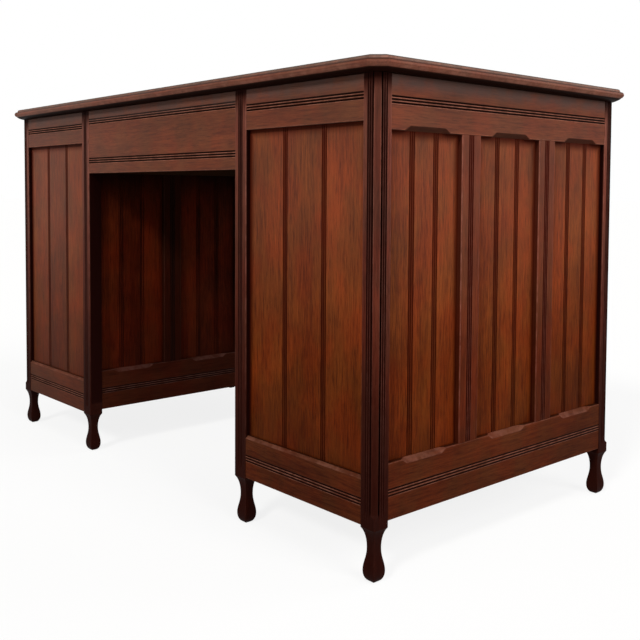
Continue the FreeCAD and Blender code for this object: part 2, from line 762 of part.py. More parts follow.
def glue_block(name, x, y, sides):
    """A three-cornered block rubbed into the angle between an end wall and the top."""
    leg = size("glue_block_leg")
    top = size("carcass_height")
    length = size("glue_block_length")
    points = [
        Vector(x, y - length / 2, top),
        Vector(x + sides * leg, y - length / 2, top),
        Vector(x, y - length / 2, top - leg),
    ]
    face = Part.Face(Part.makePolygon(points + points[:1]))
    return solid(name, face.extrude(Vector(0, length, 0)))


wall_x = -half_length + size("rail_setback") + size("rail_thickness")
knee_x = -size("kneehole_width") / 2 - size("rail_setback") - size("rail_thickness")
left_blocks = []
for number, (start, width) in enumerate(field_places()):
    middle = start + width / 2
    left_blocks.append(glue_block(f"outer_block_{number}", wall_x, middle, 1))
    left_blocks.append(glue_block(f"inner_block_{number}", knee_x, middle, -1))
left_block_group = group("left_blocks", left_blocks)
nodes["top_glue_blocks"] = group(
    "top_glue_blocks", [left_block_group, mirrored("right_blocks", left_block_group)]
)

# Drawers: a show front lapped over dovetailed sides, with a back and a housed bottom.

FRONT_FACE_Y = f"(-{BACK} + {FACE})"
SIDE_FRONT_Y = f"({FRONT_FACE_Y} + Sizes.drawer_front_thickness - Sizes.drawer_lap)"
SHOULDER_Y = f"({FRONT_FACE_Y} + Sizes.drawer_front_thickness)"
DRAWER_REAR_Y = f"({BACK} - {FRAME_BACK} - Sizes.drawer_rear_gap)"
TAILS = {"top": 2, "middle": 4, "bottom": 5}


def dovetail(name, x, z):
    """One tail at the front end of a drawer side: wider at its tip than at its root."""
    item = doc.addObject("Part::Wedge", name)
    bind(
        item,
        Xmin="0",
        Xmax="Sizes.drawer_side_thickness",
        X2min="0",
        X2max="Sizes.drawer_side_thickness",
        Ymin="0",
        Ymax="Sizes.drawer_lap",
        Zmin="0",
        Zmax="Sizes.dovetail_width",
        Z2min="Sizes.dovetail_taper",
        Z2max="Sizes.dovetail_width - Sizes.dovetail_taper",
    )
    return put(item, (x, SIDE_FRONT_Y, z))


def pull_post(name, x, z):
    """A turned brass post: rosette, stem, the bolt through the drawer front and its nut."""
    face = FRONT_FACE_Y
    stem_start = f"{face} - Sizes.pull_stem_length"
    through = "Sizes.pull_stem_length + Sizes.drawer_front_thickness + Sizes.pull_nut_thickness"
    stem = rod(f"{name}_stem", "y", (x, stem_start, z), "Sizes.pull_stem_radius", "Sizes.pull_stem_length")
    plate = rod(
        f"{name}_plate",
        "y",
        (x, f"{face} - Sizes.rosette_thickness", z),
        "Sizes.rosette_radius",
        "Sizes.rosette_thickness",
    )
    bolt = rod(f"{name}_bolt", "y", (x, stem_start, z), "Sizes.pull_bolt_radius", through)
    nut = rod(f"{name}_nut", "y", (x, SHOULDER_Y, z), "Sizes.pull_nut_radius", "Sizes.pull_nut_thickness")
    return joined(name, [stem, plate, bolt, nut])


PIVOT_Y = f"({FRONT_FACE_Y} - Sizes.pull_stem_length + Sizes.pull_stem_radius)"


def pin_bore(name, x, z, radius):
    reach = "Sizes.pull_spacing + 4 * Sizes.pull_stem_radius"
    start = f"{x} - Sizes.pull_spacing / 2 - 2 * Sizes.pull_stem_radius"
    return rod(name, "x", (start, PIVOT_Y, z), radius, reach)


def bail(name, x, z):
    """A drop handle bent from brass rod, hung on pins that point inwards through the posts."""
    arm_x = "(Sizes.pull_spacing / 2 + Sizes.pull_stem_radius + Sizes.bail_spread)"
    bend = "Sizes.bail_bend_radius"
    bar_z = f"{z} - Sizes.bail_drop"
    pieces = [
        rod(
            f"{name}_bar",
            "x",
            (f"{x} - {arm_x} + {bend}", PIVOT_Y, bar_z),
            "Sizes.bail_radius",
            f"2 * ({arm_x} - {bend})",
        )
    ]
    for side, turn in ((-1, 180), (1, 270)):
        arm = f"{x} + {side} * {arm_x}"
        up = rod(
            f"{name}_arm_{side + 1}",
            "z",
            (arm, PIVOT_Y, f"{bar_z} + {bend}"),
            "Sizes.bail_radius",
            f"Sizes.bail_drop - {bend} + Sizes.bail_pin_radius",
        )
        corner = doc.addObject("Part::Torus", f"{name}_bend_{side + 1}")
        corner.Placement = Placement(Vector(), Rotation(Vector(1, 0, 0), 90))
        corner.Angle3 = 90
        bind(corner, Radius1=bend, Radius2="Sizes.bail_radius")
        put(corner, (f"{arm} - {side} * {bend}", PIVOT_Y, f"{bar_z} + {bend}"))
        spin = Rotation(Vector(1, 0, 0), 90).multiply(Rotation(Vector(0, 0, 1), turn))
        corner.Placement = Placement(corner.Placement.Base, spin)
        reach = "(2 * Sizes.pull_stem_radius + Sizes.bail_spread)"
        pin_x = arm if side < 0 else f"{arm} - {reach}"
        pin = rod(f"{name}_pin_{side + 1}", "x", (pin_x, PIVOT_Y, z), "Sizes.bail_pin_radius", reach)
        pieces += [up, corner, pin]
    return joined(name, pieces)


def keyhole(name, x, z, depth_start, depth):
    eye = rod(f"{name}_eye", "y", (x, depth_start, z), "Sizes.keyhole_radius", depth)
    slot = block(
        f"{name}_slot",
        (f"{x} - Sizes.keyhole_slot_width / 2", depth_start, f"{z} - Sizes.keyhole_slot_length"),
        ("Sizes.keyhole_slot_width", depth, "Sizes.keyhole_slot_length"),
    )
    return joined(name, [eye, slot])


def drawer(prefix, row, x, width, pulls):
    """All pieces of one drawer in an opening of the given row, width and middle."""
    floor, height = ROWS[row]
    half = f"({width} / 2)"
    low_x = f"{x} - {half} + Sizes.drawer_gap"
    front = block(
        f"{prefix}_front_stock",
        (low_x, FRONT_FACE_Y, f"{floor} + Sizes.drawer_gap"),
        (
            f"{width} - 2 * Sizes.drawer_gap",
            "Sizes.drawer_front_thickness",
            f"{height} - 2 * Sizes.drawer_gap",
        ),
    )
    along = (low_x, f"{width} - 2 * Sizes.drawer_gap")
    reeds = level_reeds(
        f"{prefix}_low_reed", "front", along, FACE, f"{floor} + Sizes.drawer_reed_margin"
    )
    reeds += level_reeds(
        f"{prefix}_top_reed", "front", along, FACE, f"{floor} + {height} - Sizes.drawer_reed_margin"
    )

    side_z = f"({floor} + Sizes.running_gap)"
    side_height = f"({height} - Sizes.drawer_gap - Sizes.drawer_side_drop)"
    side_length = f"{DRAWER_REAR_Y} - {SHOULDER_Y}"
    bottom_z = f"({side_z} + Sizes.drawer_bottom_rise)"
    bottom = block(
        f"{prefix}_bottom",
        (
            f"{x} - {half} + Sizes.drawer_gap + Sizes.drawer_side_thickness - Sizes.drawer_bottom_housing",
            f"{SHOULDER_Y} - Sizes.drawer_bottom_housing",
            bottom_z,
        ),
        (
            f"{width} - 2 * (Sizes.drawer_gap + Sizes.drawer_side_thickness - Sizes.drawer_bottom_housing)",
            f"{side_length} + Sizes.drawer_bottom_housing",
            "Sizes.drawer_bottom_thickness",
        ),
    )
    back_z = f"({bottom_z} + Sizes.drawer_bottom_thickness)"
    back = block(
        f"{prefix}_back",
        (
            f"{x} - {half} + Sizes.drawer_gap + Sizes.drawer_side_thickness",
            f"{DRAWER_REAR_Y} - 2 * Sizes.drawer_back_thickness",
            back_z,
        ),
        (
            f"{width} - 2 * (Sizes.drawer_gap + Sizes.drawer_side_thickness)",
            "Sizes.drawer_back_thickness",
            f"{side_z} + {side_height} - Sizes.drawer_back_drop - {back_z}",
        ),
    )
    sides = []
    tails = []
    count = TAILS[row]
    step = f"({side_height} - Sizes.dovetail_width) / {count}"
    for where, side_x in (
        ("left", low_x),
        ("right", f"{x} + {half} - Sizes.drawer_gap - Sizes.drawer_side_thickness"),
    ):
        plank = block(
            f"{prefix}_{where}_plank",
            (side_x, SHOULDER_Y, side_z),
            ("Sizes.drawer_side_thickness", side_length, side_height),
        )
        ends = [
            dovetail(
                f"{prefix}_{where}_tail_{number}",
                side_x,
                f"{side_z} + {step} * ({number} + 0.5)",
            )
            for number in range(count)
        ]
        tails += ends
        sides.append(joined(f"{prefix}_{where}_side", [plank] + ends))
    shell = cut(f"{prefix}_sides", group(f"{prefix}_side_pair", sides), [bottom])
    nodes[f"{prefix}_box"] = group(f"{prefix}_box", [shell, back, bottom])

    pull_z = f"({floor} + {height} / 2 + Sizes.pull_drop)"
    lock_z = f"({floor} + {height} - Sizes.keyhole_drop)"
    posts = []
    holes = []
    bores = []
    for number, offset in enumerate(pulls):
        middle = f"({x} + {offset})"
        for side in (-1, 1):
            post_x = f"{middle} + {side} * Sizes.pull_spacing / 2"
            posts.append(pull_post(f"{prefix}_post_{number}_{side + 1}", post_x, pull_z))
            holes.append(
                rod(
                    f"{prefix}_bolt_hole_{number}_{side + 1}",
                    "y",
                    (post_x, FRONT_FACE_Y, pull_z),
                    "Sizes.pull_bolt_radius",
                    "Sizes.drawer_front_thickness",
                )
            )
        bores.append(
            pin_bore(
                f"{prefix}_bore_{number}", middle, pull_z, "Sizes.bail_pin_radius + Sizes.bail_pin_gap"
            )
        )
        name = f"{prefix}_handle" if len(pulls) == 1 else f"{prefix}_handle_{number + 1}"
        nodes[name] = bail(name, middle, pull_z)
    bored_posts = cut(f"{prefix}_bored_posts", group(f"{prefix}_posts", posts), bores)

    plate = rod(
        f"{prefix}_escutcheon_disc",
        "y",
        (x, f"{FRONT_FACE_Y} - Sizes.escutcheon_thickness", lock_z),
        "Sizes.escutcheon_radius",
        "Sizes.escutcheon_thickness",
    )
    plate_hole = keyhole(
        f"{prefix}_plate_keyhole",
        x,
        lock_z,
        f"{FRONT_FACE_Y} - Sizes.escutcheon_thickness",
        "Sizes.escutcheon_thickness",
    )
    front_hole = keyhole(f"{prefix}_keyhole", x, lock_z, FRONT_FACE_Y, "Sizes.drawer_front_thickness")
    lock = block(
        f"{prefix}_lock",
        (
            f"{x} - Sizes.lock_width / 2",
            SHOULDER_Y,
            f"{floor} + {height} - Sizes.drawer_gap - Sizes.lock_height",
        ),
        ("Sizes.lock_width", "Sizes.lock_thickness", "Sizes.lock_height"),
    )
    nodes[f"{prefix}_brass_fittings"] = group(
        f"{prefix}_brass_fittings",
        [bored_posts, cut(f"{prefix}_escutcheon", plate, [plate_hole]), lock],
    )
    nodes[f"{prefix}_front"] = cut(
        f"{prefix}_front", front, reeds + tails + [bottom, front_hole] + holes
    )


BAY_MIDDLE = f"({BAY_START} + {BAY_SPAN} / 2)"
for row in ROWS:
    drawer(f"left_{row}_drawer", row, BAY_MIDDLE, BAY_SPAN, ("0",))
drawer(
    "centre_drawer",
    "top",
    "0",
    "Sizes.kneehole_width",
    ("(-Sizes.centre_pull_offset)", "Sizes.centre_pull_offset"),
)

# The moulded top and its leather.


def moulded_face(half, place):
    """The section of the top across its width, with the moulding along both edges."""
    base = size("carcass_height")
    cove_in = size("top_overhang") - size("cove_margin")
    cove_z = size("cove_rise")
    nose_in = size("nose_inset")
    return_in = size("nose_return")
    return_z = cove_z + size("nose_rise")
    quirk_in = return_in + size("quirk_width")
    quirk_z = return_z + size("quirk_rise")
    ovolo_in = quirk_in + size("ovolo_width")
    thickness = size("top_thickness")
    cove_share, cove_up_share = COVE_MIDDLE_SHARES
    edges = []
    for side in (1, -1):

        def at(inset, up):
            return place(side * (half - inset), base + up)

        cove_middle = at(cove_in - (cove_in - nose_in) * cove_share, cove_z * cove_up_share)
        nose_middle = at(0, cove_z + size("nose_rise") * NOSE_MIDDLE_SHARE)
        ovolo_middle = at(
            ovolo_in - size("ovolo_width") * OVOLO_MIDDLE_SHARE,
            quirk_z + (thickness - quirk_z) * OVOLO_MIDDLE_SHARE,
        )
        edges += [
            Part.Arc(at(cove_in, 0), cove_middle, at(nose_in, cove_z)).toShape(),
            Part.Arc(at(nose_in, cove_z), nose_middle, at(return_in, return_z)).toShape(),
            Part.makeLine(at(return_in, return_z), at(quirk_in, return_z)),
            Part.makeLine(at(quirk_in, return_z), at(quirk_in, quirk_z)),
            Part.Arc(at(quirk_in, quirk_z), ovolo_middle, at(ovolo_in, thickness)).toShape(),
        ]
    edges.append(Part.makeLine(place(half - cove_in, base), place(cove_in - half, base)))
    edges.append(
        Part.makeLine(place(half - ovolo_in, base + thickness), place(ovolo_in - half, base + thickness))
    )
    return Part.Face(Part.Wire(Part.__sortEdges__(edges)))


def moulded_slab(half, heading):
    """The moulded section drawn out level: heading is the angle that its width points to."""
    reach = size("carcass_length") + size("carcass_depth")
    across = Vector(math.cos(heading), math.sin(heading), 0)
    out = Vector(-math.sin(heading), math.cos(heading), 0)
    face = moulded_face(half, lambda width, up: across * width - out * (reach / 2) + Vector(0, 0, up))
    return face.extrude(out * reach)


top_half_length = half_length + size("top_overhang")
top_half_depth = half_depth + size("top_overhang")
corner_reach = (top_half_length + top_half_depth - size("top_canted_corner")) / math.sqrt(2)
slab = moulded_slab(top_half_length, 0)
slab = slab.common(moulded_slab(top_half_depth, math.radians(90)))
slab = slab.common(moulded_slab(corner_reach, math.radians(45)))
slab = slab.common(moulded_slab(corner_reach, math.radians(135)))
top_stock = solid("top_stock", slab)

LEATHER_LENGTH = "(Sizes.carcass_length + 2 * Sizes.top_overhang - 2 * Sizes.leather_margin)"
LEATHER_DEPTH = "(Sizes.carcass_depth + 2 * Sizes.top_overhang - 2 * Sizes.leather_margin)"
SURFACE = "(Sizes.carcass_height + Sizes.top_thickness)"
recess = block(
    "leather_recess_cutter",
    (f"-{LEATHER_LENGTH} / 2", f"-{LEATHER_DEPTH} / 2", f"{SURFACE} - Sizes.leather_recess"),
    (LEATHER_LENGTH, LEATHER_DEPTH, "Sizes.leather_recess + Sizes.overrun"),
)
nodes["desk_top"] = cut("desk_top", top_stock, [recess])


def origin_plane(body, role):
    for feature in body.Origin.OriginFeatures:
        if feature.Role == role:
            return feature
    raise ValueError(role)


leather = doc.addObject("PartDesign::Body", "leather_writing_surface")
outline = leather.newObject("Sketcher::SketchObject", "leather_outline")
outline.AttachmentSupport = [(origin_plane(leather, "XY_Plane"), "")]
outline.MapMode = "FlatFace"
half_x = size("carcass_length") / 3
half_y = size("carcass_depth") / 3
corners = [
    Vector(-half_x, -half_y, 0),
    Vector(half_x, -half_y, 0),
    Vector(half_x, half_y, 0),
    Vector(-half_x, half_y, 0),
]
for number in range(4):
    outline.addGeometry(Part.LineSegment(corners[number], corners[(number + 1) % 4]), False)
for number in range(4):
    outline.addConstraint(Sketcher.Constraint("Coincident", number, 2, (number + 1) % 4, 1))
outline.addConstraint(Sketcher.Constraint("Horizontal", 0))
outline.addConstraint(Sketcher.Constraint("Horizontal", 2))
outline.addConstraint(Sketcher.Constraint("Vertical", 1))
outline.addConstraint(Sketcher.Constraint("Vertical", 3))
outline.addConstraint(Sketcher.Constraint("Symmetric", 0, 1, 2, 1, -1, 1))
wide = outline.addConstraint(Sketcher.Constraint("DistanceX", 0, 1, 0, 2, 2 * half_x))
deep = outline.addConstraint(Sketcher.Constraint("DistanceY", 1, 1, 1, 2, 2 * half_y))
outline.setExpression(f"Constraints[{wide}]", f"{LEATHER_LENGTH} - 2 * Sizes.leather_clearance")
outline.setExpression(f"Constraints[{deep}]", f"{LEATHER_DEPTH} - 2 * Sizes.leather_clearance")
skin = leather.newObject("PartDesign::Pad", "leather_skin")
skin.Profile = outline
skin.setExpression("Length", "Sizes.leather_thickness")
leather.Tip = skin
put(leather, ("0", "0", f"{SURFACE} - Sizes.leather_recess"))
nodes["leather_writing_surface"] = leather

# The right-hand pedestal is the left one mirrored.

for name in [name for name in nodes if name.startswith("left_")]:
    twin = name.replace("left_", "right_", 1)
    nodes[twin] = mirrored(twin, nodes[name])

doc.recompute()

for item in doc.Objects:
    if "Invalid" in item.State or "Error" in item.State:
        raise RuntimeError(f"{item.Name} is {item.State}")
os.makedirs("parts", exist_ok=True)
for name, item in nodes.items():
    item.Label = name
    shape = item.Shape
    if shape.isNull() or not shape.isValid() or not shape.Solids:
        raise RuntimeError(f"{name} has no sound shape")
    shape.exportStep(f"parts/{name}.step")
print(len(nodes), "nodes written")
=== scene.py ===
import bpy
import bmesh
import math
from mathutils import Euler, Matrix, Vector, geometry, noise


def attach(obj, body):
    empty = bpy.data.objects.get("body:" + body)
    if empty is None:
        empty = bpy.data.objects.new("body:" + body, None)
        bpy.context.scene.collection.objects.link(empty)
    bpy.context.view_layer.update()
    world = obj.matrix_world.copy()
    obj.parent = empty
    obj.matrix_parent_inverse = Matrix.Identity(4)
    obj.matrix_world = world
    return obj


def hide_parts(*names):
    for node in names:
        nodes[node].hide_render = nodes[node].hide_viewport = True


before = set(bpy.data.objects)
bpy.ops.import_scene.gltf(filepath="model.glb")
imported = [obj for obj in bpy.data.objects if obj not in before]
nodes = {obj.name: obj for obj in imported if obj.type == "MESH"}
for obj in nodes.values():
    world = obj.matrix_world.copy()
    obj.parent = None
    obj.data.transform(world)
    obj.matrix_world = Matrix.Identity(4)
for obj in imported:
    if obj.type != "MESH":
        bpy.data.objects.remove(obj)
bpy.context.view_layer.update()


# The room: a plain pale floor that keeps the desk's shadow, and a white backdrop behind the desk.
# One soft window faces the desk's back and one its near end, a fainter one is off to its front, and
# a dim ceiling lights it from above. The viewer stands off the near back corner.

class Wire:
    """One output of a node. Sums and products of wires add the maths nodes that work them out."""

    def __init__(self, socket):
        self.socket = socket
        self.tree = socket.id_data

    def __add__(self, other):
        return maths("ADD", self, other)

    def __sub__(self, other):
        return maths("SUBTRACT", self, other)

    def __mul__(self, other):
        return maths("MULTIPLY", self, other)

    def __truediv__(self, other):
        return maths("DIVIDE", self, other)


def feed(node, inputs):
    """Gives each input of a node its value, or the wire that leads to it."""
    for name, value in inputs.items():
        socket = node.inputs[name]
        if isinstance(value, Wire):
            value.tree.links.new(value.socket, socket)
        elif socket.type == "RGBA":
            socket.default_value = (*value, 1)
        else:
            socket.default_value = value


def add_node(tree, kind, inputs=(), **settings):
    node = tree.nodes.new(kind)
    for name, value in settings.items():
        setattr(node, name, value)
    feed(node, dict(inputs))
    return node


def wire(tree, kind, inputs=(), output=0, **settings):
    return Wire(add_node(tree, kind, inputs, **settings).outputs[output])


def maths(operation, *values, clamp=False):
    tree = next(value.tree for value in values if isinstance(value, Wire))
    return wire(tree, "ShaderNodeMath", enumerate(values), operation=operation, use_clamp=clamp)


def spread(value, low, high, to_low=0.0, to_high=1.0):
    """Eases from to_low to to_high while the value goes from low to high."""
    limits = {"Value": value, "From Min": low, "From Max": high, "To Min": to_low, "To Max": to_high}
    return wire(value.tree, "ShaderNodeMapRange", limits, interpolation_type="SMOOTHSTEP")


def white_mix(tree, lit, seen, mirrored, white_kind):
    """Mixes a lit shader with white: seen for the camera, mirrored for what metal and glass show."""
    path = add_node(tree, "ShaderNodeLightPath").outputs
    reflected = maths("MAXIMUM", Wire(path["Is Glossy Ray"]), Wire(path["Is Transmission Ray"]))
    share = maths("MAXIMUM", Wire(path["Is Camera Ray"]) * seen, reflected * mirrored)
    white = wire(tree, white_kind, {"Color": (1, 1, 1), "Strength": 1})
    return wire(tree, "ShaderNodeMixShader", {0: share, 1: Wire(lit.outputs[0]), 2: white})


floor_reach = 60
floor_drop = 0.0004
floor_white = 0.85
floor_mesh = bpy.data.meshes.new("floor")
floor_corners = [(-1, -1), (1, -1), (1, 1), (-1, 1)]
floor_verts = [(x * floor_reach, y * floor_reach, -floor_drop) for x, y in floor_corners]
floor_mesh.from_pydata(floor_verts, [], [(0, 1, 2, 3)])
floor = bpy.data.objects.new("floor", floor_mesh)
bpy.context.collection.objects.link(floor)
floor_paint = bpy.data.materials.new("pale_floor")
floor_paint.use_nodes = True
floor_tree = floor_paint.node_tree
paint = floor_tree.nodes["Principled BSDF"]
feed(paint, {"Base Color": (0.70, 0.70, 0.69), "Roughness": 0.9, "Specular IOR Level": 0.1})
floor_look = white_mix(floor_tree, paint, floor_white, floor_white, "ShaderNodeEmission")
feed(floor_tree.nodes["Material Output"], {"Surface": floor_look})
floor_mesh.materials.append(floor_paint)

world = bpy.data.worlds.new("white_room")
bpy.context.scene.world = world
world.use_nodes = True
world_tree = world.node_tree
room_light = world_tree.nodes["Background"]
feed(room_light, {"Color": (1.0, 0.985, 0.97), "Strength": 0.05})
room_way = wire(world_tree, "ShaderNodeTexCoord")
backdrop_way = (0.75, -0.66, 0.05)
to_backdrop = wire(
    world_tree, "ShaderNodeVectorMath", {0: room_way, 1: backdrop_way}, "Value", operation="DOT_PRODUCT"
)
room_look = white_mix(world_tree, room_light, 1.0, spread(to_backdrop, 0.1, 0.6), "ShaderNodeBackground")
feed(world_tree.nodes["World Output"], {"Surface": room_look})

for name, toward, softness, strength, colour in (
    ("back_window", (-0.35, 1.0, 0.83), 10, 2.8, (1.0, 0.98, 0.95)),
    ("end_window", (-1.0, -0.02, 0.74), 32, 2.4, (1.0, 0.98, 0.97)),
    ("soft_ceiling", (-0.2, 0.2, 1.0), 90, 0.8, (1.0, 1.0, 1.0)),
    ("far_window", (-0.42, -1.0, 0.5), 35, 1.0, (1.0, 1.0, 1.0)),
):
    lamp = bpy.data.lights.new(name, "SUN")
    lamp.angle = math.radians(softness)
    lamp.energy = strength
    lamp.color = colour
    item = bpy.data.objects.new(name, lamp)
    item.location = Vector(toward) * 4
    item.rotation_euler = (-Vector(toward)).to_track_quat("-Z", "Y").to_euler()
    bpy.context.collection.objects.link(item)

camera_place = (-1.48734, 1.19634, 0.56592)
camera_yaw = math.radians(48.575)
camera_pitch = math.radians(-2.718)
camera_roll = math.radians(0.325)
lens_pixels = 888.12
frame_pixels = 640
level_pixel = 234.15
camera_data = bpy.data.cameras.new("viewer")
camera_data.sensor_width = 36
camera_data.lens = lens_pixels / frame_pixels * camera_data.sensor_width
camera_data.shift_y = -(frame_pixels / 2 - level_pixel) / frame_pixels
camera_data.clip_start = 0.05
camera_data.clip_end = 200
camera = bpy.data.objects.new("viewer", camera_data)
bpy.context.collection.objects.link(camera)
look = Vector((
    math.sin(camera_yaw) * math.cos(camera_pitch),
    -math.cos(camera_yaw) * math.cos(camera_pitch),
    math.sin(camera_pitch),
))
camera.location = camera_place
camera.rotation_mode = "QUATERNION"
camera.rotation_quaternion = look.to_track_quat("-Z", "Y") @ Euler((0, 0, camera_roll)).to_quaternion()
bpy.context.scene.camera = camera
bpy.context.scene.view_settings.view_transform = "Standard"


# The eight posts run in one length from the top to the floor. Their lower ends are sawn to a
# waisted leg with a blunt foot, and their faces carry three fine grooves that stop above the leg.
# Like the whole desk they are of a close-grained red-brown hardwood, stained and polished.

def new_tree(name, kind, inputs, outputs):
    """A node group: gives its tree, its named inputs as wires, and the node that ends it."""
    tree = bpy.data.node_groups.new(name, kind)
    for label, socket_kind, *value in inputs:
        socket = tree.interface.new_socket(label, in_out="INPUT", socket_type=f"NodeSocket{socket_kind}")
        if value:
            socket.default_value = value[0]
    for label, socket_kind in outputs:
        tree.interface.new_socket(label, in_out="OUTPUT", socket_type=f"NodeSocket{socket_kind}")
    start = tree.nodes.new("NodeGroupInput")
    given = {socket.name: Wire(socket) for socket in start.outputs if socket.name}
    return tree, given, tree.nodes.new("NodeGroupOutput")


def vector(tree, x=0.0, y=0.0, z=0.0):
    return wire(tree, "ShaderNodeCombineXYZ", {0: x, 1: y, 2: z})


def axes_of(place):
    return [Wire(axis) for axis in add_node(place.tree, "ShaderNodeSeparateXYZ", {0: place}).outputs]


def blend_colour(share, first, second, mode="MIX"):
    tree = next(value.tree for value in (share, first, second) if isinstance(value, Wire))
    inputs = {0: share, 6: first, 7: second}
    return wire(tree, "ShaderNodeMix", inputs, 2, data_type="RGBA", blend_type=mode)


def streaks(vector, across, along, detail=4.0, roughness=0.55):
    """Noise drawn out along Z: across and along are its sizes as cycles in a metre."""
    drawn = wire(vector.tree, "ShaderNodeMapping", {"Vector": vector, "Scale": (across, across, along)})
    texture = {"Vector": drawn, "Scale": 1.0, "Detail": detail, "Roughness": roughness}
    return wire(vector.tree, "ShaderNodeTexNoise", texture, "Fac")


# Fine pores and streaks run along each piece, and the colour drifts from board to board.
grain, held, grain_end = new_tree(
    "polished_grain",
    "ShaderNodeTree",
    [
        ("Vector", "Vector"),
        ("Pale", "Color", (0.2, 0.06, 0.02, 1)),
        ("Deep", "Color", (0.05, 0.012, 0.005, 1)),
        ("Tone", "Float", 0.5),
        ("Figure", "Float", 1.0),
        ("Sheen Low", "Float", 0.3),
        ("Sheen High", "Float", 0.46),
    ],
    [("Colour", "Color"), ("Roughness", "Float"), ("Height", "Float")],
)
place = held["Vector"]
wander = streaks(place, 5, 1.2, 2) * 0.035
bend = vector(grain, wander, wander)
bent = wire(grain, "ShaderNodeVectorMath", {0: place, 1: bend}, operation="ADD")
broad = streaks(bent, 26, 1.4, 3)
fine = streaks(bent, 230, 11, 6, 0.75)
hair = streaks(bent, 520, 34, 3, 0.7)
cloud = streaks(bent, 22, 7, 4, 0.6)
pores = spread(hair, 0.56, 0.70)
flecks = spread(streaks(place, 300, 26, 2), 0.68, 0.76)
mixture = broad * 0.4 + fine * 1.1 + cloud * 0.5 + hair * 1.5 - 1.75
mixture = mixture * (held["Figure"] * 1.5) + 0.5
mixture = maths("ADD", mixture, (held["Tone"] - 0.5) * 0.55, clamp=True)
wood_colour = blend_colour(mixture, held["Deep"], held["Pale"])
marked_share = maths("MAXIMUM", pores * 0.5, flecks * 0.7)
sheen_range = held["Sheen High"] - held["Sheen Low"]
feed(grain_end, {
    "Colour": blend_colour(marked_share, wood_colour, held["Deep"]),
    "Roughness": fine * sheen_range + held["Sheen Low"] + pores * 0.12,
    "Height": fine * 0.35 - pores * 0.65,
})

# Edges are rubbed paler, grooves hold dark wax, and a grey band, painted shade, highlights and sheen lie on
# the faces.
wear_and_painted_light, held, wear_and_painted_light_end = new_tree(
    "wear_wax_and_painted_light",
    "ShaderNodeTree",
    [
        ("Vector", "Vector"),
        ("Colour", "Color", (0.1, 0.05, 0.02, 1)),
        ("Arris", "Float", 0.0),
        ("Groove", "Float", 0.0),
        ("Worn", "Color", (0.35, 0.13, 0.05, 1)),
        ("Wax", "Color", (0.008, 0.002, 0.001, 1)),
        ("Wear Amount", "Float", 0.5),
        ("Wax Amount", "Float", 1.0),
        ("Shade", "Float", 0.0),
        ("Bloom", "Float", 0.0),
        ("Bloom Colour", "Color", (0.17, 0.105, 0.088, 1)),
        ("Soot", "Float", 0.0),
        ("Soot Colour", "Color", (0.064, 0.043, 0.038, 1)),
    ],
    [("Colour", "Color"), ("Dullness", "Float")],
)
place = held["Vector"]
patches = spread(streaks(place, 60, 60, 4, 0.6), 0.36, 0.66, 0.25, 1.0)
# Rubbed wear on the edges, and painted highlights on edges and lips that face the light.
rubbed_and_highlit = held["Arris"] * patches * held["Wear Amount"]
blotch = spread(streaks(place, 9, 9, 3), 0.3, 0.7, 0.82, 1.13)
toned = wire(wear_and_painted_light, "ShaderNodeVectorMath", {0: held["Colour"], "Scale": blotch}, operation="SCALE")
drift = spread(streaks(place, 17, 11, 3), 0.34, 0.66)
warm_or_cool = blend_colour(drift, (1.10, 0.90, 0.86), (0.93, 1.08, 1.12))
drifted = blend_colour(1.0, toned, warm_or_cool, "MULTIPLY")
# A painted grey sheen, laid on as the reflection on the polish would grey the colour.
with_painted_sheen = blend_colour(held["Bloom"], drifted, held["Bloom Colour"])
worn_and_highlit = blend_colour(rubbed_and_highlit, with_painted_sheen, held["Worn"])
# Wax in the grooves, and painted shade from the marks and the Shade input, darken the wood toward one colour.
wax_and_shade = maths("MAXIMUM", held["Groove"] * held["Wax Amount"], held["Shade"], clamp=True)
darkened = blend_colour(wax_and_shade, worn_and_highlit, held["Wax"])
# A grey band broken into patches: dust with painted shade under the top, and a painted sheen on the top's
# moulding.
grey_band_patches = spread(streaks(place, 28, 20, 4, 0.6), 0.34, 0.58, 0.45, 1.0)
feed(wear_and_painted_light_end, {
    "Colour": blend_colour(held["Soot"] * grey_band_patches, darkened, held["Soot Colour"]),
    "Dullness": rubbed_and_highlit * 0.12 + wax_and_shade * 0.1,
})

GRAIN_TURNS = {"up": (0, 0, 0), "along_x": (0, math.radians(90), 0), "along_y": (math.radians(90), 0, 0)}


def mark(tree, name):
    return wire(tree, "ShaderNodeAttribute", output="Fac", attribute_name=name)


def new_material(name):
    """A material: gives it, its shader, and the wire of the object's own coordinates."""
    material = bpy.data.materials.new(name)
    material.use_nodes = True
    tree = material.node_tree
    return material, tree.nodes["Principled BSDF"], wire(tree, "ShaderNodeTexCoord", output="Object")


def bump(height, strength, distance):
    inputs = {"Strength": strength, "Distance": distance, "Height": height}
    return wire(height.tree, "ShaderNodeBump", inputs)


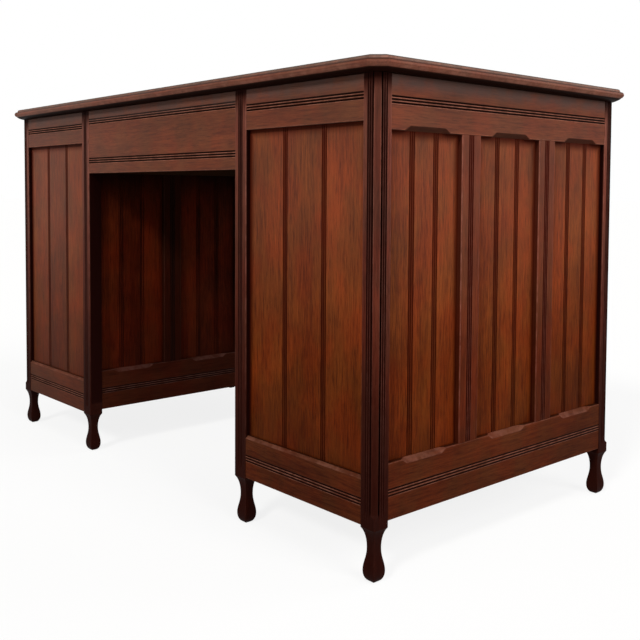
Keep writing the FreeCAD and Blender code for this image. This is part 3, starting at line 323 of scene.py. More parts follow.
def polished_wood(
    name, grain_way, pale, deep, sheen=(0.32, 0.46), figure=1.0, wear_and_highlight_amount=0.5, foot=(0.02, 0.62, 0.54),
    eaves=(0.698, 0.734, 0.85), painted_sheen=0.17, wax_and_shade_amount=1.0, wax_and_shade_colour=(0.008, 0.002, 0.001), low_wax_and_shade=None,
    grey_band=(0.702, 0.722, 0.0), grey_band_colour=(0.064, 0.043, 0.038), marked=True, corners=False, gloss=0.01,
):
    """foot, eaves and grey_band are (low, high, share): how dark the wood is painted toward the floor and the
    top, as shade, and where a grey band lies.
    """
    material, shader, place = new_material(name)
    tree = material.node_tree
    along, _, height = axes_of(place)
    turned_way = wire(tree, "ShaderNodeMapping", {"Vector": place, "Rotation": GRAIN_TURNS[grain_way]})
    wood = add_node(tree, "ShaderNodeGroup", node_tree=grain)
    feed(wood, {
        "Vector": turned_way, "Pale": pale, "Deep": deep, "Figure": figure,
        "Sheen Low": sheen[0], "Sheen High": sheen[1],
    })
    # Painted shade: foot darkens the wood toward the floor and eaves darkens it under the top; in the
    # kneehole, eaves paints the frieze's shadow.
    low_shade = spread(height, *foot, 0.0)
    high_shade = spread(height, eaves[0], eaves[1], 0.0, eaves[2])
    used = add_node(tree, "ShaderNodeGroup", node_tree=wear_and_painted_light)
    feed(used, {
        "Vector": place,
        "Colour": Wire(wood.outputs["Colour"]),
        "Wear Amount": wear_and_highlight_amount,
        "Wax Amount": wax_and_shade_amount,
        # This colour goes darker toward the floor, as painted shade.
        "Wax": blend_colour(spread(height, 0.15, 0.6), low_wax_and_shade or wax_and_shade_colour, wax_and_shade_colour),
        # The pale colour of rubbed edges and of painted highlights.
        "Worn": [min(channel * 1.5 + 0.055, 1) for channel in pale],
        "Shade": maths("MAXIMUM", low_shade, high_shade),
        "Soot": spread(height, grey_band[0], grey_band[1], 0.0, grey_band[2]),
        "Soot Colour": grey_band_colour,
        # Painted sheen: greyer higher up and toward +x, the end far from the viewer, as the reflection on the
        # polish would look.
        "Bloom": spread(height, 0.25, 0.7, 0.0, painted_sheen) + spread(along, -0.2, 0.6, 0.0, 0.95 * painted_sheen),
    })
    if marked:
        groove = mark(tree, "groove")
        # Painted shade in the recess along the edges of each field of boards.
        if corners:
            for edge, reach, share in (
                ("to_side", 0.015, 0.95), ("to_top", 0.018, 0.9), ("to_foot", 0.006, 0.7),
            ):
                groove = maths("MAXIMUM", groove, spread(mark(tree, edge), 0.0, reach, share, 0.0))
        feed(wood, {"Tone": mark(tree, "tone")})
        feed(used, {"Arris": mark(tree, "arris"), "Groove": groove})
    feed(shader, {
        "Base Color": Wire(used.outputs["Colour"]),
        "Roughness": Wire(wood.outputs["Roughness"]) + Wire(used.outputs["Dullness"]),
        "Specular IOR Level": gloss,
        "Normal": bump(Wire(wood.outputs["Height"]), 0.35, 0.0003),
    })
    return material


# The posts are painted darker toward the floor and under the top, as shade.
post_wood = polished_wood(
    "post_wood", "up", (0.160, 0.038, 0.019), (0.062, 0.012, 0.006), wear_and_highlight_amount=0.9,
    foot=(0.07, 0.80, 0.945), eaves=(0.69, 0.732, 0.95), wax_and_shade_colour=(0.0085, 0.0014, 0.0009),
)
carcass_end = 0.6035
carcass_back = 0.310
carcass_top = 0.735
kneehole_side = 0.265
post_depth = 0.029
outer_post_width = 0.029
inner_post_width = 0.0305
cant = 0.008
arris = 0.0009
reed_pitch = 0.0045
reed_radius = 0.00125
reed_lip = 0.00018
rub_reach = 0.0011
joint_strip = 0.003
reed_stop = ((0.0965, 0.0), (0.0985, 0.45), (0.1005, 0.78), (0.1035, 0.96), (0.107, 1.0))


def reeded_band(middle, dark=0.75, lit=0.0):
    """Three half-round grooves across a face, as (place, depth, groove, arris) in falling order."""
    # The upper lip of each groove takes dark as painted shade; the lower lip takes lit, and where lit is low
    # it is painted light as a highlight. The groove holds dark wax.
    flat = middle + reed_pitch + reed_radius + rub_reach
    points = [(flat, 0.0, 0.0, 0.0)]
    for step in (1, 0, -1):
        centre = middle + step * reed_pitch
        points.append((centre + reed_radius + reed_lip, 0.0, dark, 1.2 * (1 - dark)))
        for degrees in (8, 35, 65, 90, 115, 145, 172):
            angle = math.radians(degrees)
            sunk = math.sin(angle)
            points.append((centre + reed_radius * math.cos(angle), reed_radius * sunk, 0.9 + 0.1 * sunk, 0.0))
        points.append((centre - reed_radius - reed_lip, 0.0, lit, 2.0 * (1 - lit)))
    return points + [(2 * middle - flat, 0.0, 0.0, 0.0)]


def drawn_solid(rings):
    """A closed skin over a row of like rings, with a cap at each end."""
    count = len(rings[0])
    last = (len(rings) - 1) * count
    faces = []
    for low in range(0, last, count):
        for column in range(count):
            after = (column + 1) % count
            faces.append((low + column, low + after, low + count + after, low + count + column))
    faces += [tuple(range(count - 1, -1, -1)), tuple(range(last, last + count))]
    return [tuple(point) for ring in rings for point in ring], faces


def marked_solid(rings, tone=0.5):
    """Skins rings of (point, groove, arris) and gathers the marks that the wood reads."""
    verts, faces = drawn_solid([[point for point, _, _ in ring] for ring in rings])
    grooves = [groove for ring in rings for _, groove, _ in ring]
    edges = [rub_and_highlight for ring in rings for _, _, rub_and_highlight in ring]
    return verts, faces, {"groove": grooves, "arris": edges, "tone": [tone] * len(verts)}


def joined(parts):
    """Several (verts, faces, marks) parts as one, with a plain mark where a part gives none."""
    verts, faces, marks = [], [], {"groove": [], "arris": [], "tone": []}
    for part_verts, part_faces, part_marks in parts:
        faces += [tuple(index + len(verts) for index in face) for face in part_faces]
        verts += part_verts
        for key in marks:
            marks[key] += part_marks.get(key, [0.5 if key == "tone" else 0.0] * len(part_verts))
    return verts, faces, marks


def show_mesh(name, mesh, body, replaced, sharp):
    mesh.shade_smooth()
    mesh.set_sharp_from_angle(angle=math.radians(sharp))
    item = bpy.data.objects.new(name, mesh)
    bpy.context.collection.objects.link(item)
    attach(item, body)
    if replaced:
        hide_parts(*replaced)
    return item


def make_piece(name, parts, material, body, replaced, sharp=32):
    """One object from (verts, faces, marks) parts, with its normals outward and its marks stored."""
    verts, faces, marks = joined(parts)
    mesh = bpy.data.meshes.new(name)
    mesh.from_pydata(verts, [], faces)
    for key, values in marks.items():
        mesh.attributes.new(key, "FLOAT", "POINT").data.foreach_set("value", values)
    shell = bmesh.new()
    shell.from_mesh(mesh)
    bmesh.ops.recalc_face_normals(shell, faces=shell.faces)
    shell.to_mesh(mesh)
    shell.free()
    mesh.materials.append(material)
    return show_mesh(name, mesh, body, replaced, sharp)


def leg_line(full):
    """Half the leg's width at rising heights, from the sole to the shoulder."""
    neck, neck_z = 0.0076, 0.050
    foot, foot_z = 0.012, 0.016
    sole, shoulder_z = 0.0035, 0.080
    shoulder_pull = (full - (full - neck) * 0.55, shoulder_z - 0.0045)
    line = []
    for *knots, count in (
        ((sole, 0), (sole + (foot - sole) * 0.55, 0), (foot, foot_z * 0.45), (foot, foot_z), 7),
        ((foot, foot_z), (foot, foot_z + 0.0119), (neck, neck_z - 0.0153), (neck, neck_z), 11),
        ((neck, neck_z), (neck, neck_z + 0.015), shoulder_pull, (full, shoulder_z), 10),
    ):
        points = geometry.interpolate_bezier(*[Vector((*knot, 0)) for knot in knots], count)
        line += [(point.y, point.x) for point in points[1 if line else 0:]]
    return line


def post_ring(width, corner_post, cut):
    """A post's section round its middle, as (x, y, groove, arris): its show corner is at low x, high y."""
    # The groove marks paint shade on the reveals where the post meets the boards and on an inner post's
    # kneehole side, and mark the canted corner a little darker; the reed lips carry painted shade.
    half_x, half_y = width / 2, post_depth / 2
    edge = cant * cut + arris * (1 - cut) if corner_post else arris
    open_side, boarded_side = (0, cut) if corner_post else (cut, cut)
    reeds = reeded_band(0, 0.85, 0.7)
    band = [(place, drop * cut, groove * cut, rub_and_highlight * cut) for place, drop, groove, rub_and_highlight in reeds]
    ring = [(half_x, half_y - joint_strip, boarded_side, 0)]
    ring += [(half_x, half_y - arris, 0.4 * boarded_side, 0.3)]
    ring += [(half_x - arris, half_y, 0, 0.7), (half_x - arris - rub_reach, half_y, 0, 0)]
    ring += [(place, half_y - drop, groove, rub_and_highlight) for place, drop, groove, rub_and_highlight in band]
    ring += [(-half_x + edge + rub_reach, half_y, 0.1 * cut, 0), (-half_x + edge, half_y, 0, 0.5)]
    if corner_post:
        for share in (0.85, 0.15):
            ring.append((-half_x + edge * share, half_y - edge * (1 - share), 0.52 * cut, 0))
    ring += [(-half_x, half_y - edge, 0.4 * open_side, 0.5), (-half_x, half_y - edge - 0.002, open_side, 0)]
    if corner_post:
        ring += [(-half_x + drop, place, groove, rub_and_highlight) for place, drop, groove, rub_and_highlight in band]
    ring += [(-half_x, -half_y + arris + rub_reach, open_side, 0)]
    ring += [(-half_x, -half_y + arris, open_side, 0.7 * boarded_side)]
    ring += [(-half_x + arris, -half_y, 0.4 * cut, 0.3 * boarded_side)]
    ring += [(-half_x + joint_strip, -half_y, cut, 0), (half_x - joint_strip, -half_y, cut, 0)]
    ring += [(half_x - arris, -half_y, boarded_side, 0)]
    return ring + [(half_x, -half_y + arris, boarded_side, 0.6 * open_side)]


def post(name, x, y, width, side_x, side_y, outer):
    """side_x and side_y give the corner that shows: -1 or 1 each way."""
    stations = [
        (z, half_x / (width / 2), half_y / (post_depth / 2), 0.0)
        for (z, half_x), (_, half_y) in zip(leg_line(width / 2), leg_line(post_depth / 2))
    ]
    stations += [(z, 1.0, 1.0, cut) for z, cut in reed_stop + ((carcass_top, 1.0),)]
    rings = []
    for z, scale_x, scale_y, cut in stations:
        rings.append([
            ((x - side_x * px * scale_x, y + side_y * py * scale_y, z), groove, rub_and_highlight)
            for px, py, groove, rub_and_highlight in post_ring(width, outer, cut)
        ])
    tone = 0.5 + 0.5 * noise.noise(Vector((x * 7, y * 9, 3.1)))
    part = marked_solid(rings, tone)
    make_piece(f"{name}_turned", [part], post_wood, "desk_carcass", [name])


HANDS = (("left", -1), ("right", 1))
for hand, side in HANDS:
    for end, depth_side in (("back", 1), ("front", -1)):
        y = depth_side * (carcass_back - post_depth / 2)
        outer_x = side * (carcass_end - outer_post_width / 2)
        inner_x = side * (kneehole_side + inner_post_width / 2)
        post(f"{hand}_{end}_corner_post", outer_x, y, outer_post_width, side, depth_side, True)
        post(f"{hand}_{end}_inner_post", inner_x, y, inner_post_width, side, depth_side, False)


# The rails tie the posts together at top and bottom. Each is ploughed with a band of three grooves.
# On the end walls the edges next to the boards have stopped chamfers with S-shaped ends, and
# muntins with a band of their own part the fields.

# The rails are painted darker toward the floor and in a thin line under the top as shade, with a grey band of
# dust and painted shade below that line.
rail_wood_y = polished_wood(
    "end_rail_wood", "along_y", (0.140, 0.032, 0.009), (0.052, 0.010, 0.0035), figure=1.05, wear_and_highlight_amount=0.8,
    foot=(0.02, 0.62, 0.62), eaves=(0.731, 0.735, 0.6), grey_band=(0.705, 0.727, 0.8),
)
rail_wood_x = polished_wood(
    "back_rail_wood", "along_x", (0.134, 0.032, 0.009), (0.052, 0.010, 0.0035), figure=1.05, wear_and_highlight_amount=0.8,
    eaves=(0.731, 0.735, 0.6), grey_band=(0.705, 0.727, 0.68),
)
# The muntins are painted darker toward the floor, grooves and all, as shade.
muntin_wood = polished_wood(
    "muntin_wood", "up", (0.122, 0.026, 0.0085), (0.050, 0.0100, 0.0032), figure=1.05, wear_and_highlight_amount=0.8,
    foot=(0.05, 0.55, 0.66), wax_and_shade_colour=(0.03, 0.0024, 0.0005), low_wax_and_shade=(0.012, 0.0011, 0.0004),
)
# The kneehole's rails and muntins are darker copies of the woods, as painted shade inside the kneehole, and
# the muntins' eaves paint the shadow under the frieze.
shaded_rail_wood = polished_wood(
    "kneehole_rail_wood", "along_y", (0.068, 0.013, 0.005), (0.028, 0.005, 0.002), figure=1.1, painted_sheen=0
)
shaded_muntin_wood = polished_wood(
    "kneehole_muntin_wood", "up", (0.034, 0.006, 0.002), (0.015, 0.003, 0.001), figure=1.1, wear_and_highlight_amount=0.2,
    eaves=(0.5, 0.62, 0.8), painted_sheen=0,
)
rail_setback = 0.001
rail_thickness = 0.022
board_recess = 0.008
side_start = -0.281
side_span = 0.562
field_count = 3
muntin_width = 0.045
field_width = (side_span - (field_count - 1) * muntin_width) / field_count
side_low, side_low_reed = (0.089, 0.1735), 0.1298
side_high, side_high_reed = (0.6555, carcass_top), 0.6985
back_low, back_low_reed = (0.082, 0.154), 0.1165
back_high, back_high_reed = (0.668, carcass_top), 0.7043
frieze_height, frieze_reeds = (0.603, carcass_top), [0.7122, 0.6297]
small_cut = (arris, arris)
back_bevel = (0.004, 0.004)
chamfer_rise = 0.007
chamfer_margin = 0.026
chamfer_stop = 0.016


def rail_ring(low, high, reeds, low_cut, high_cut, dark=0.75, lit=0.0, reveal=0.85):
    """A rail's section as (height, depth, groove, arris), from the top of its face round to its back."""
    # Groove marks paint shade on the reveal faces and on a chamfer that faces down; the edges of a chamfer
    # that faces up get arris marks, painted highlight as well as rubbed wear.
    shadowed = 0.6 if low_cut[1] > arris else 0.0
    top_rub_and_highlight = 0.55 if high_cut[1] > arris else 0.2
    ring = [(high, high_cut[0] + 0.001, reveal, 0), (high, high_cut[0], 0, top_rub_and_highlight)]
    ring += [(high - high_cut[1], 0.0, 0, 0.8), (high - high_cut[1] - rub_reach, 0.0, 0, 0)]
    for middle in sorted(reeds, reverse=True):
        ring += reeded_band(middle, dark, lit)
    ring += [(low + low_cut[1] + rub_reach, 0.0, 0, 0), (low + low_cut[1], 0.0, shadowed, 0.8 - shadowed)]
    ring += [(low, low_cut[0], shadowed, 0), (low, low_cut[0] + 0.001, reveal, 0)]
    return ring + [(low, rail_thickness, reveal, 0), (high, rail_thickness, reveal, 0)]


def rail_solid(stations, ring_at, place, tone):
    rings = []
    for along in stations:
        ring = ring_at(along)
        rings.append([(place(along, height, depth), groove, rub_and_highlight) for height, depth, groove, rub_and_highlight in ring])
    return marked_solid(rings, tone)


chamfers = []
for number in range(field_count):
    chamfer_low = side_start + number * (field_width + muntin_width) + chamfer_margin
    chamfers.append((chamfer_low, chamfer_low + field_width - 2 * chamfer_margin))
end_stations = {side_start, side_start + side_span}
for low, high in chamfers:
    for step in range(9):
        end_stations |= {low + chamfer_stop * step / 8, high - chamfer_stop * step / 8}
end_stations = sorted(end_stations)


def chamfer_cut(along):
    """How deep and how high the stopped chamfer cuts at a place along an end wall."""
    for low, high in chamfers:
        if low <= along <= high:
            share = min(min(along - low, high - along) / chamfer_stop, 1.0)
            rise = chamfer_rise * (0.5 - 0.5 * math.cos(math.pi * share))
            if rise:
                share = rise / chamfer_rise
                return (board_recess * share + arris * (1 - share), max(rise, arris))
    return small_cut


def end_wall_rails(face_x, out):
    def place(along, height, depth):
        return (face_x - out * depth, along, height)

    def top_ring(along):
        return rail_ring(*side_high, [side_high_reed], chamfer_cut(along), small_cut)

    def bottom_ring(along):
        return rail_ring(*side_low, [side_low_reed], small_cut, chamfer_cut(along))

    tone = 0.5 + 0.35 * noise.noise(Vector((face_x * 5, 1.7, 0.4)))
    return [
        rail_solid(end_stations, top_ring, place, tone),
        rail_solid(end_stations, bottom_ring, place, 1 - tone),
    ]


def end_wall_muntins(face_x, out):
    solids = []
    ring = rail_ring(-muntin_width / 2, muntin_width / 2, [0], small_cut, small_cut, 0.75, 0.65, 0.75)
    for number in range(1, field_count):
        middle = side_start + number * (field_width + muntin_width) - muntin_width / 2

        def place(along, height, depth, middle=middle):
            return (face_x - out * depth, middle + height, along)

        tone = 0.5 + 0.6 * noise.noise(Vector((face_x * 3, number * 2.3, 5.4)))
        solids.append(rail_solid((side_low[1], side_high[0]), lambda _: ring, place, tone))
    return solids


def frame_piece(name, parts, wood, replaced):
    make_piece(name, parts, wood, "desk_carcass", replaced)


for hand, side in HANDS:
    face = side * (carcass_end - rail_setback)
    knee_face = side * (kneehole_side + rail_setback)
    frame_piece(f"{hand}_side_rails_moulded", end_wall_rails(face, side), rail_wood_y, [f"{hand}_side_rails"])
    frame_piece(
        f"{hand}_side_muntins_moulded", end_wall_muntins(face, side), muntin_wood, [f"{hand}_side_muntins"]
    )
    frame_piece(
        f"{hand}_kneehole_rails_moulded", end_wall_rails(knee_face, -side), shaded_rail_wood,
        [f"{hand}_kneehole_frame"],
    )
    frame_piece(
        f"{hand}_kneehole_muntins_moulded", end_wall_muntins(knee_face, -side), shaded_muntin_wood, []
    )

bay_ends = (kneehole_side + inner_post_width, carcass_end - outer_post_width)
back_face = carcass_back - rail_setback


def back_rail(ends, span, reeds, high_cut, tone):
    def place(along, height, depth):
        return (along, back_face - depth, height)

    return rail_solid(ends, lambda _: rail_ring(*span, reeds, small_cut, high_cut), place, tone)


for hand, side in HANDS:
    ends = sorted(side * end for end in bay_ends)
    top = back_rail(ends, back_high, [back_high_reed], small_cut, 0.45 - 0.1 * side)
    bottom = back_rail(ends, back_low, [back_low_reed], back_bevel, 0.55 + 0.1 * side)
    frame_piece(f"{hand}_back_rails_moulded", [top, bottom], rail_wood_x, [f"{hand}_back_rails"])
frieze = back_rail((-kneehole_side, kneehole_side), frieze_height, frieze_reeds, small_cut, 0.5)
frame_piece("kneehole_frieze_moulded", [frieze], rail_wood_x, ["kneehole_back_frieze"])


# The walls between the rails are narrow boards, tongued together. Three grooves bead each joint,
# and no two boards were quite the same colour.

# The boards are painted darker toward the floor, grooves and all, as shade, and painted shade lies in the
# recess along the edges of each field.
board_wood = polished_wood(
    "board_wood", "up", (0.176, 0.035, 0.0054), (0.062, 0.011, 0.0020), sheen=(0.30, 0.44), figure=1.2,
    foot=(0.05, 0.55, 0.66), wax_and_shade_colour=(0.034, 0.0032, 0.0009), low_wax_and_shade=(0.012, 0.0011, 0.0004),
    corners=True,
)
# The kneehole's boards are a darker copy of the board wood, as painted shade inside the kneehole, and their
# eaves paint the shadow under the frieze.
shaded_board_wood = polished_wood(
    "kneehole_board_wood", "up", (0.105, 0.014, 0.003), (0.038, 0.005, 0.0014), sheen=(0.34, 0.48),
    figure=1.2, eaves=(0.48, 0.62, 0.93), painted_sheen=0.0, wax_and_shade_amount=0.65, wax_and_shade_colour=(0.002, 0.0008, 0.0006),
    corners=True,
)


def close_tree(end, shape, material):
    """Ends a geometry tree: plain geometry, with its material set."""
    real = wire(shape.tree, "GeometryNodeRealizeInstances", {0: shape})
    feed(end, {0: wire(shape.tree, "GeometryNodeSetMaterial", {"Geometry": real, "Material": material})})


def beaded_boards():
    """A tree for rows of beaded boards, lying in XY with Z outward and its middle at the origin."""
    tree, size, end = new_tree(
        "beaded_boards",
        "GeometryNodeTree",
        [
            ("Fields", "Int"), ("Field Width", "Float"), ("Field Height", "Float"), ("Muntin Width", "Float"),
            ("Boards", "Int"), ("Housing", "Float"), ("Thickness", "Float"), ("Groove Pitch", "Float"),
            ("Groove Radius", "Float"), ("Seed", "Int"), ("Wood", "Material"),
        ],
        [("Boards", "Geometry")],
    )
    width, radius = size["Field Width"], size["Groove Radius"]
    hidden = size["Housing"] * 2.0
    column_width = radius * 0.2
    columns = maths("ROUND", (width + hidden) / column_width) + 1.0
    field = wire(tree, "GeometryNodeMeshGrid", {
        "Size X": width + hidden, "Size Y": size["Field Height"] + hidden,
        "Vertices X": columns, "Vertices Y": 2,
    })
    pitch = width + size["Muntin Width"]
    first_x = (size["Fields"] - 1.0) * (pitch * -0.5)
    middles = wire(tree, "GeometryNodeMeshLine", {
        "Count": size["Fields"], "Start Location": vector(tree, first_x), "Offset": vector(tree, pitch),
    })
    copies = wire(tree, "GeometryNodeInstanceOnPoints", {"Points": middles, "Instance": field})
    current = wire(tree, "GeometryNodeRealizeInstances", {0: copies})

    across, up, _ = axes_of(wire(tree, "GeometryNodeInputPosition"))
    from_first = across - first_x
    field_number = maths("ROUND", from_first / pitch)
    in_field = from_first - field_number * pitch + width * 0.5
    board_width = width / size["Boards"]
    share = in_field / board_width
    last_joint = size["Boards"] - 1.0
    joint = maths("MINIMUM", maths("MAXIMUM", maths("ROUND", share), 1.0), last_joint)
    from_joint = (share - joint) * board_width
    grooves = []
    for step in (-1.0, 0.0, 1.0):
        off = from_joint - size["Groove Pitch"] * step
        grooves.append(maths("SQRT", maths("MAXIMUM", radius * radius - off * off, 0.0)))
    depth = maths("MAXIMUM", maths("MAXIMUM", grooves[0], grooves[1]), grooves[2])
    band_margin, band_wax = 0.0002, 0.72
    in_band = maths("LESS_THAN", maths("ABSOLUTE", from_joint), size["Groove Pitch"] + radius + band_margin)
    groove = maths("POWER", maths("DIVIDE", depth, radius, clamp=True), 0.3)
    half_height = size["Field Height"] * 0.5
    board = maths("MINIMUM", maths("MAXIMUM", maths("FLOOR", share), 0.0), last_joint)
    board_id = maths("ROUND", field_number * size["Boards"] + board)
    chance = {"ID": board_id, "Seed": size["Seed"]}
    for label, value in (
        ("tone", wire(tree, "FunctionNodeRandomValue", chance, 1, data_type="FLOAT")),
        ("groove", maths("MAXIMUM", groove, in_band * band_wax)),
        ("to_side", width * 0.5 - maths("ABSOLUTE", in_field - width * 0.5)),
        ("to_top", half_height - up),
        ("to_foot", half_height + up),
    ):
        inputs = {"Geometry": current, "Name": label, "Value": value}
        current = wire(tree, "GeometryNodeStoreNamedAttribute", inputs, data_type="FLOAT", domain="POINT")

    sinking = {"Geometry": current, "Offset": vector(tree, z=depth * -1.0)}
    sunk = wire(tree, "GeometryNodeSetPosition", sinking)
    down = size["Thickness"] * -1.0
    thick = add_node(tree, "GeometryNodeExtrudeMesh", {
        "Mesh": sunk, "Offset": vector(tree, z=down), "Offset Scale": 1.0, "Individual": False,
    }).outputs
    flat = wire(tree, "GeometryNodeSetPosition", {
        "Geometry": Wire(thick["Mesh"]), "Selection": Wire(thick["Top"]),
        "Position": vector(tree, across, up, down),
    })
    turned = wire(tree, "GeometryNodeFlipFaces", {"Mesh": flat})
    both = add_node(tree, "GeometryNodeJoinGeometry")
    for skin in (turned, sunk):
        feed(both, {0: skin})
    seam = {"Geometry": Wire(both.outputs[0]), "Distance": 0.00001}
    close_tree(end, wire(tree, "GeometryNodeMergeByDistance", seam), size["Wood"])
    return tree


def grown_mesh(name, tree, values):
    """Runs a geometry tree with the given inputs once and gives its result as a plain mesh."""
    holder = bpy.data.objects.new(f"{name}_maker", bpy.data.meshes.new(f"{name}_maker"))
    bpy.context.collection.objects.link(holder)
    modifier = holder.modifiers.new("maker", "NODES")
    modifier.node_group = tree
    for item in tree.interface.items_tree:
        if item.item_type == "SOCKET" and item.in_out == "INPUT":
            modifier[item.identifier] = values[item.name]
    graph = bpy.context.evaluated_depsgraph_get()
    mesh = bpy.data.meshes.new_from_object(holder.evaluated_get(graph), depsgraph=graph)
    mesh.name = name
    bpy.data.objects.remove(holder)
    return mesh


board_tree = beaded_boards()
boards_per_field = 3
board_housing = 0.003
board_thickness = 0.0085


def boarded_wall(replaced, fields, width, heights, x, y, outward, muntin, seed, wood):
    name = f"{replaced}_beaded"
    low, high = heights
    mesh = grown_mesh(name, board_tree, {
        "Fields": fields, "Field Width": width, "Field Height": high - low, "Muntin Width": muntin,
        "Boards": boards_per_field, "Housing": board_housing, "Thickness": board_thickness,
        "Groove Pitch": reed_pitch, "Groove Radius": reed_radius, "Seed": seed, "Wood": wood,
    })
    up = Vector((0, 0, 1))
    spin = Matrix((up.cross(outward), up, outward)).transposed().to_4x4()
    mesh.transform(Matrix.Translation((x, y, (low + high) / 2)) @ spin)
    show_mesh(name, mesh, "desk_carcass", [replaced], 40)


side_heights = (side_low[1], side_high[0])
back_heights = (back_low[1], back_high[0])
for hand, side in HANDS:
    boarded_wall(
        f"{hand}_side_boards", field_count, field_width, side_heights,
        side * (carcass_end - rail_setback - board_recess), 0, Vector((side, 0, 0)), muntin_width, 3 + side,
        board_wood,
    )
    boarded_wall(
        f"{hand}_kneehole_boards", field_count, field_width, side_heights,
        side * (kneehole_side + rail_setback + board_recess), 0, Vector((-side, 0, 0)), muntin_width,
        8 + side, shaded_board_wood,
    )
    boarded_wall(
        f"{hand}_back_boards", 1, bay_ends[1] - bay_ends[0], back_heights,
        side * sum(bay_ends) / 2, back_face - board_recess, Vector((0, 1, 0)), 0.0, 12 + side, board_wood,
    )


# The top is one board with canted corners, laid on the posts and rails. Its edge is worked to a
# cove, a half-round nose, a fine quirk and an ovolo, and it is the part that has been knocked most.

# On the top the grey band lies on the moulding above the quirk as a painted sheen.
top_wood = polished_wood(
    "top_wood", "along_x", (0.142, 0.039, 0.017), (0.054, 0.013, 0.006), sheen=(0.26, 0.42), wear_and_highlight_amount=0.8,
    foot=(0.0, 0.1, 0.0), eaves=(0.9, 1.0, 0.0), painted_sheen=0.16, gloss=0.012,
    grey_band=(0.7515, 0.7535, 0.6), grey_band_colour=(0.090, 0.071, 0.058),
)
top_height = 0.758
top_overhang = 0.021
top_cant = 0.022
quirk_height = 0.7522
knocked_reach = 0.07
least_cant = 0.0012
plain_wander, knocked_wander = 0.0002, 0.0003
leather_margin = 0.078
leather_recess = 0.002
inner_outset = top_overhang - leather_margin
# Each ring is (outset from the carcass, height, groove, arris), from under the top to its middle.
# Groove marks paint the cove dark as shade and darken quirk and rim; arris marks paint light lines on the
# nose as highlights, with rubbed wear.
top_profile = [
    (-0.0300, carcass_top, 0, 0), (0.0010, carcass_top, 1, 0), (0.0045, 0.7352, 1, 0), (0.0085, 0.7362, 1, 0),
    (0.0125, 0.7380, 1, 0), (0.0150, 0.7397, 1, 0), (0.0160, 0.7410, 0.7, 0), (0.0163, 0.7411, 0.1, 0.6),
    (0.0181, 0.7418, 0, 0.8), (0.0200, 0.7438, 0, 0.5), (0.0210, 0.7464, 0, 0.1), (0.0206, 0.7488, 0, 0.35),
    (0.0194, 0.7507, 0.6, 0), (0.0178, 0.7520, 0.75, 0.1), (0.0172, quirk_height, 0.9, 0),
    (0.0152, quirk_height, 1, 0), (0.0150, 0.7524, 0.7, 0), (0.0149, 0.7532, 0.1, 0.8),
    (0.0144, 0.7552, 0, 1), (0.0131, 0.7569, 0.7, 0), (0.0112, 0.7579, 0.9, 0), (0.0100, top_height, 0.8, 0),
    (0.0040, top_height, 0.1, 0.1), (inner_outset, top_height, 0, 0.15),
    (inner_outset - 0.0003, top_height - leather_recess, 0, 0.15),
    (inner_outset - 0.02, top_height - leather_recess, 0, 0.15),
]
side_steps = {"long": 90, "short": 48, "cant": 3}
CORNERS = ((1, 1), (-1, 1), (-1, -1), (1, -1))


def canted_ring(outset, z, wander):
    """A closed ring round the top at an outset from the carcass, with a canted corner at each turn."""
    reach_x = carcass_end + outset
    reach_y = carcass_back + outset
    leg = max(top_cant - (top_overhang - outset) * (2 - math.sqrt(2)), least_cant)
    corners = []
    for sx, sy in CORNERS:
        first = (sx * reach_x, sy * (reach_y - leg))
        second = (sx * (reach_x - leg), sy * reach_y)
        corners += [first, second] if sx * sy > 0 else [second, first]
    ring = []
    for number in range(8):
        start = Vector((*corners[number], z))
        end = Vector((*corners[(number + 1) % 8], z))
        steps = side_steps["cant" if number % 2 == 0 else ("long" if number % 4 == 1 else "short")]
        for step in range(steps):
            point = start.lerp(end, step / steps)
            inward = Vector((-point.x / reach_x, -point.y / reach_y, 0))
            ring.append(point + inward * wander * (0.5 + 0.5 * noise.noise(point * 55)))
    return ring


def corner_rubbing(point):
    """The canted corners are rubbed harder above the quirk, and the nose below it is left dark there."""
    away = carcass_end + top_overhang - abs(point.x) + carcass_back + top_overhang - abs(point.y)
    near = max(0.0, 1 - away / knocked_reach)
    return 1 + 1.2 * near if point.z > quirk_height else 1 - near


top_rings = []
for outset, z, groove, rub_and_highlight in top_profile:
    ring = canted_ring(outset, z, plain_wander + knocked_wander * rub_and_highlight if outset > 0 else 0)
    top_rings.append([(point, groove, rub_and_highlight * corner_rubbing(point)) for point in ring])
top_parts = [marked_solid(top_rings)]
make_piece("desk_top_moulded", top_parts, top_wood, "desk_carcass", ["desk_top"], 30)


# The writing surface is a skin of dull green hide, let into the top and tooled with a plain double
# line along its edge.

leather, hide, hide_place = new_material("green_hide")
scuffs = streaks(hide_place, 7, 7, 5, 0.65)
hide_colour = blend_colour(spread(scuffs, 0.3, 0.7), (0.016, 0.028, 0.014), (0.040, 0.058, 0.030))
gilt_share = mark(leather.node_tree, "groove") * 0.85
pebbles = {"Vector": hide_place, "Scale": 620}
creases = wire(leather.node_tree, "ShaderNodeTexVoronoi", pebbles, "Distance", feature="DISTANCE_TO_EDGE")
feed(hide, {
    "Base Color": blend_colour(gilt_share, hide_colour, (0.26, 0.17, 0.06)),
    "Roughness": spread(scuffs, 0.2, 0.8, 0.38, 0.62),
    "Specular IOR Level": 0.14,
    "Sheen Weight": 0.04,
    "Normal": bump(spread(creases, 0.0, 0.16), 0.4, 0.0003),
})
hide_gap = 0.0004
hide_low, hide_high = top_height - leather_recess, 0.7578
hide_reach_x = carcass_end + inner_outset - hide_gap
hide_reach_y = carcass_back + inner_outset - hide_gap
hide_steps = 12
hide_rings = []
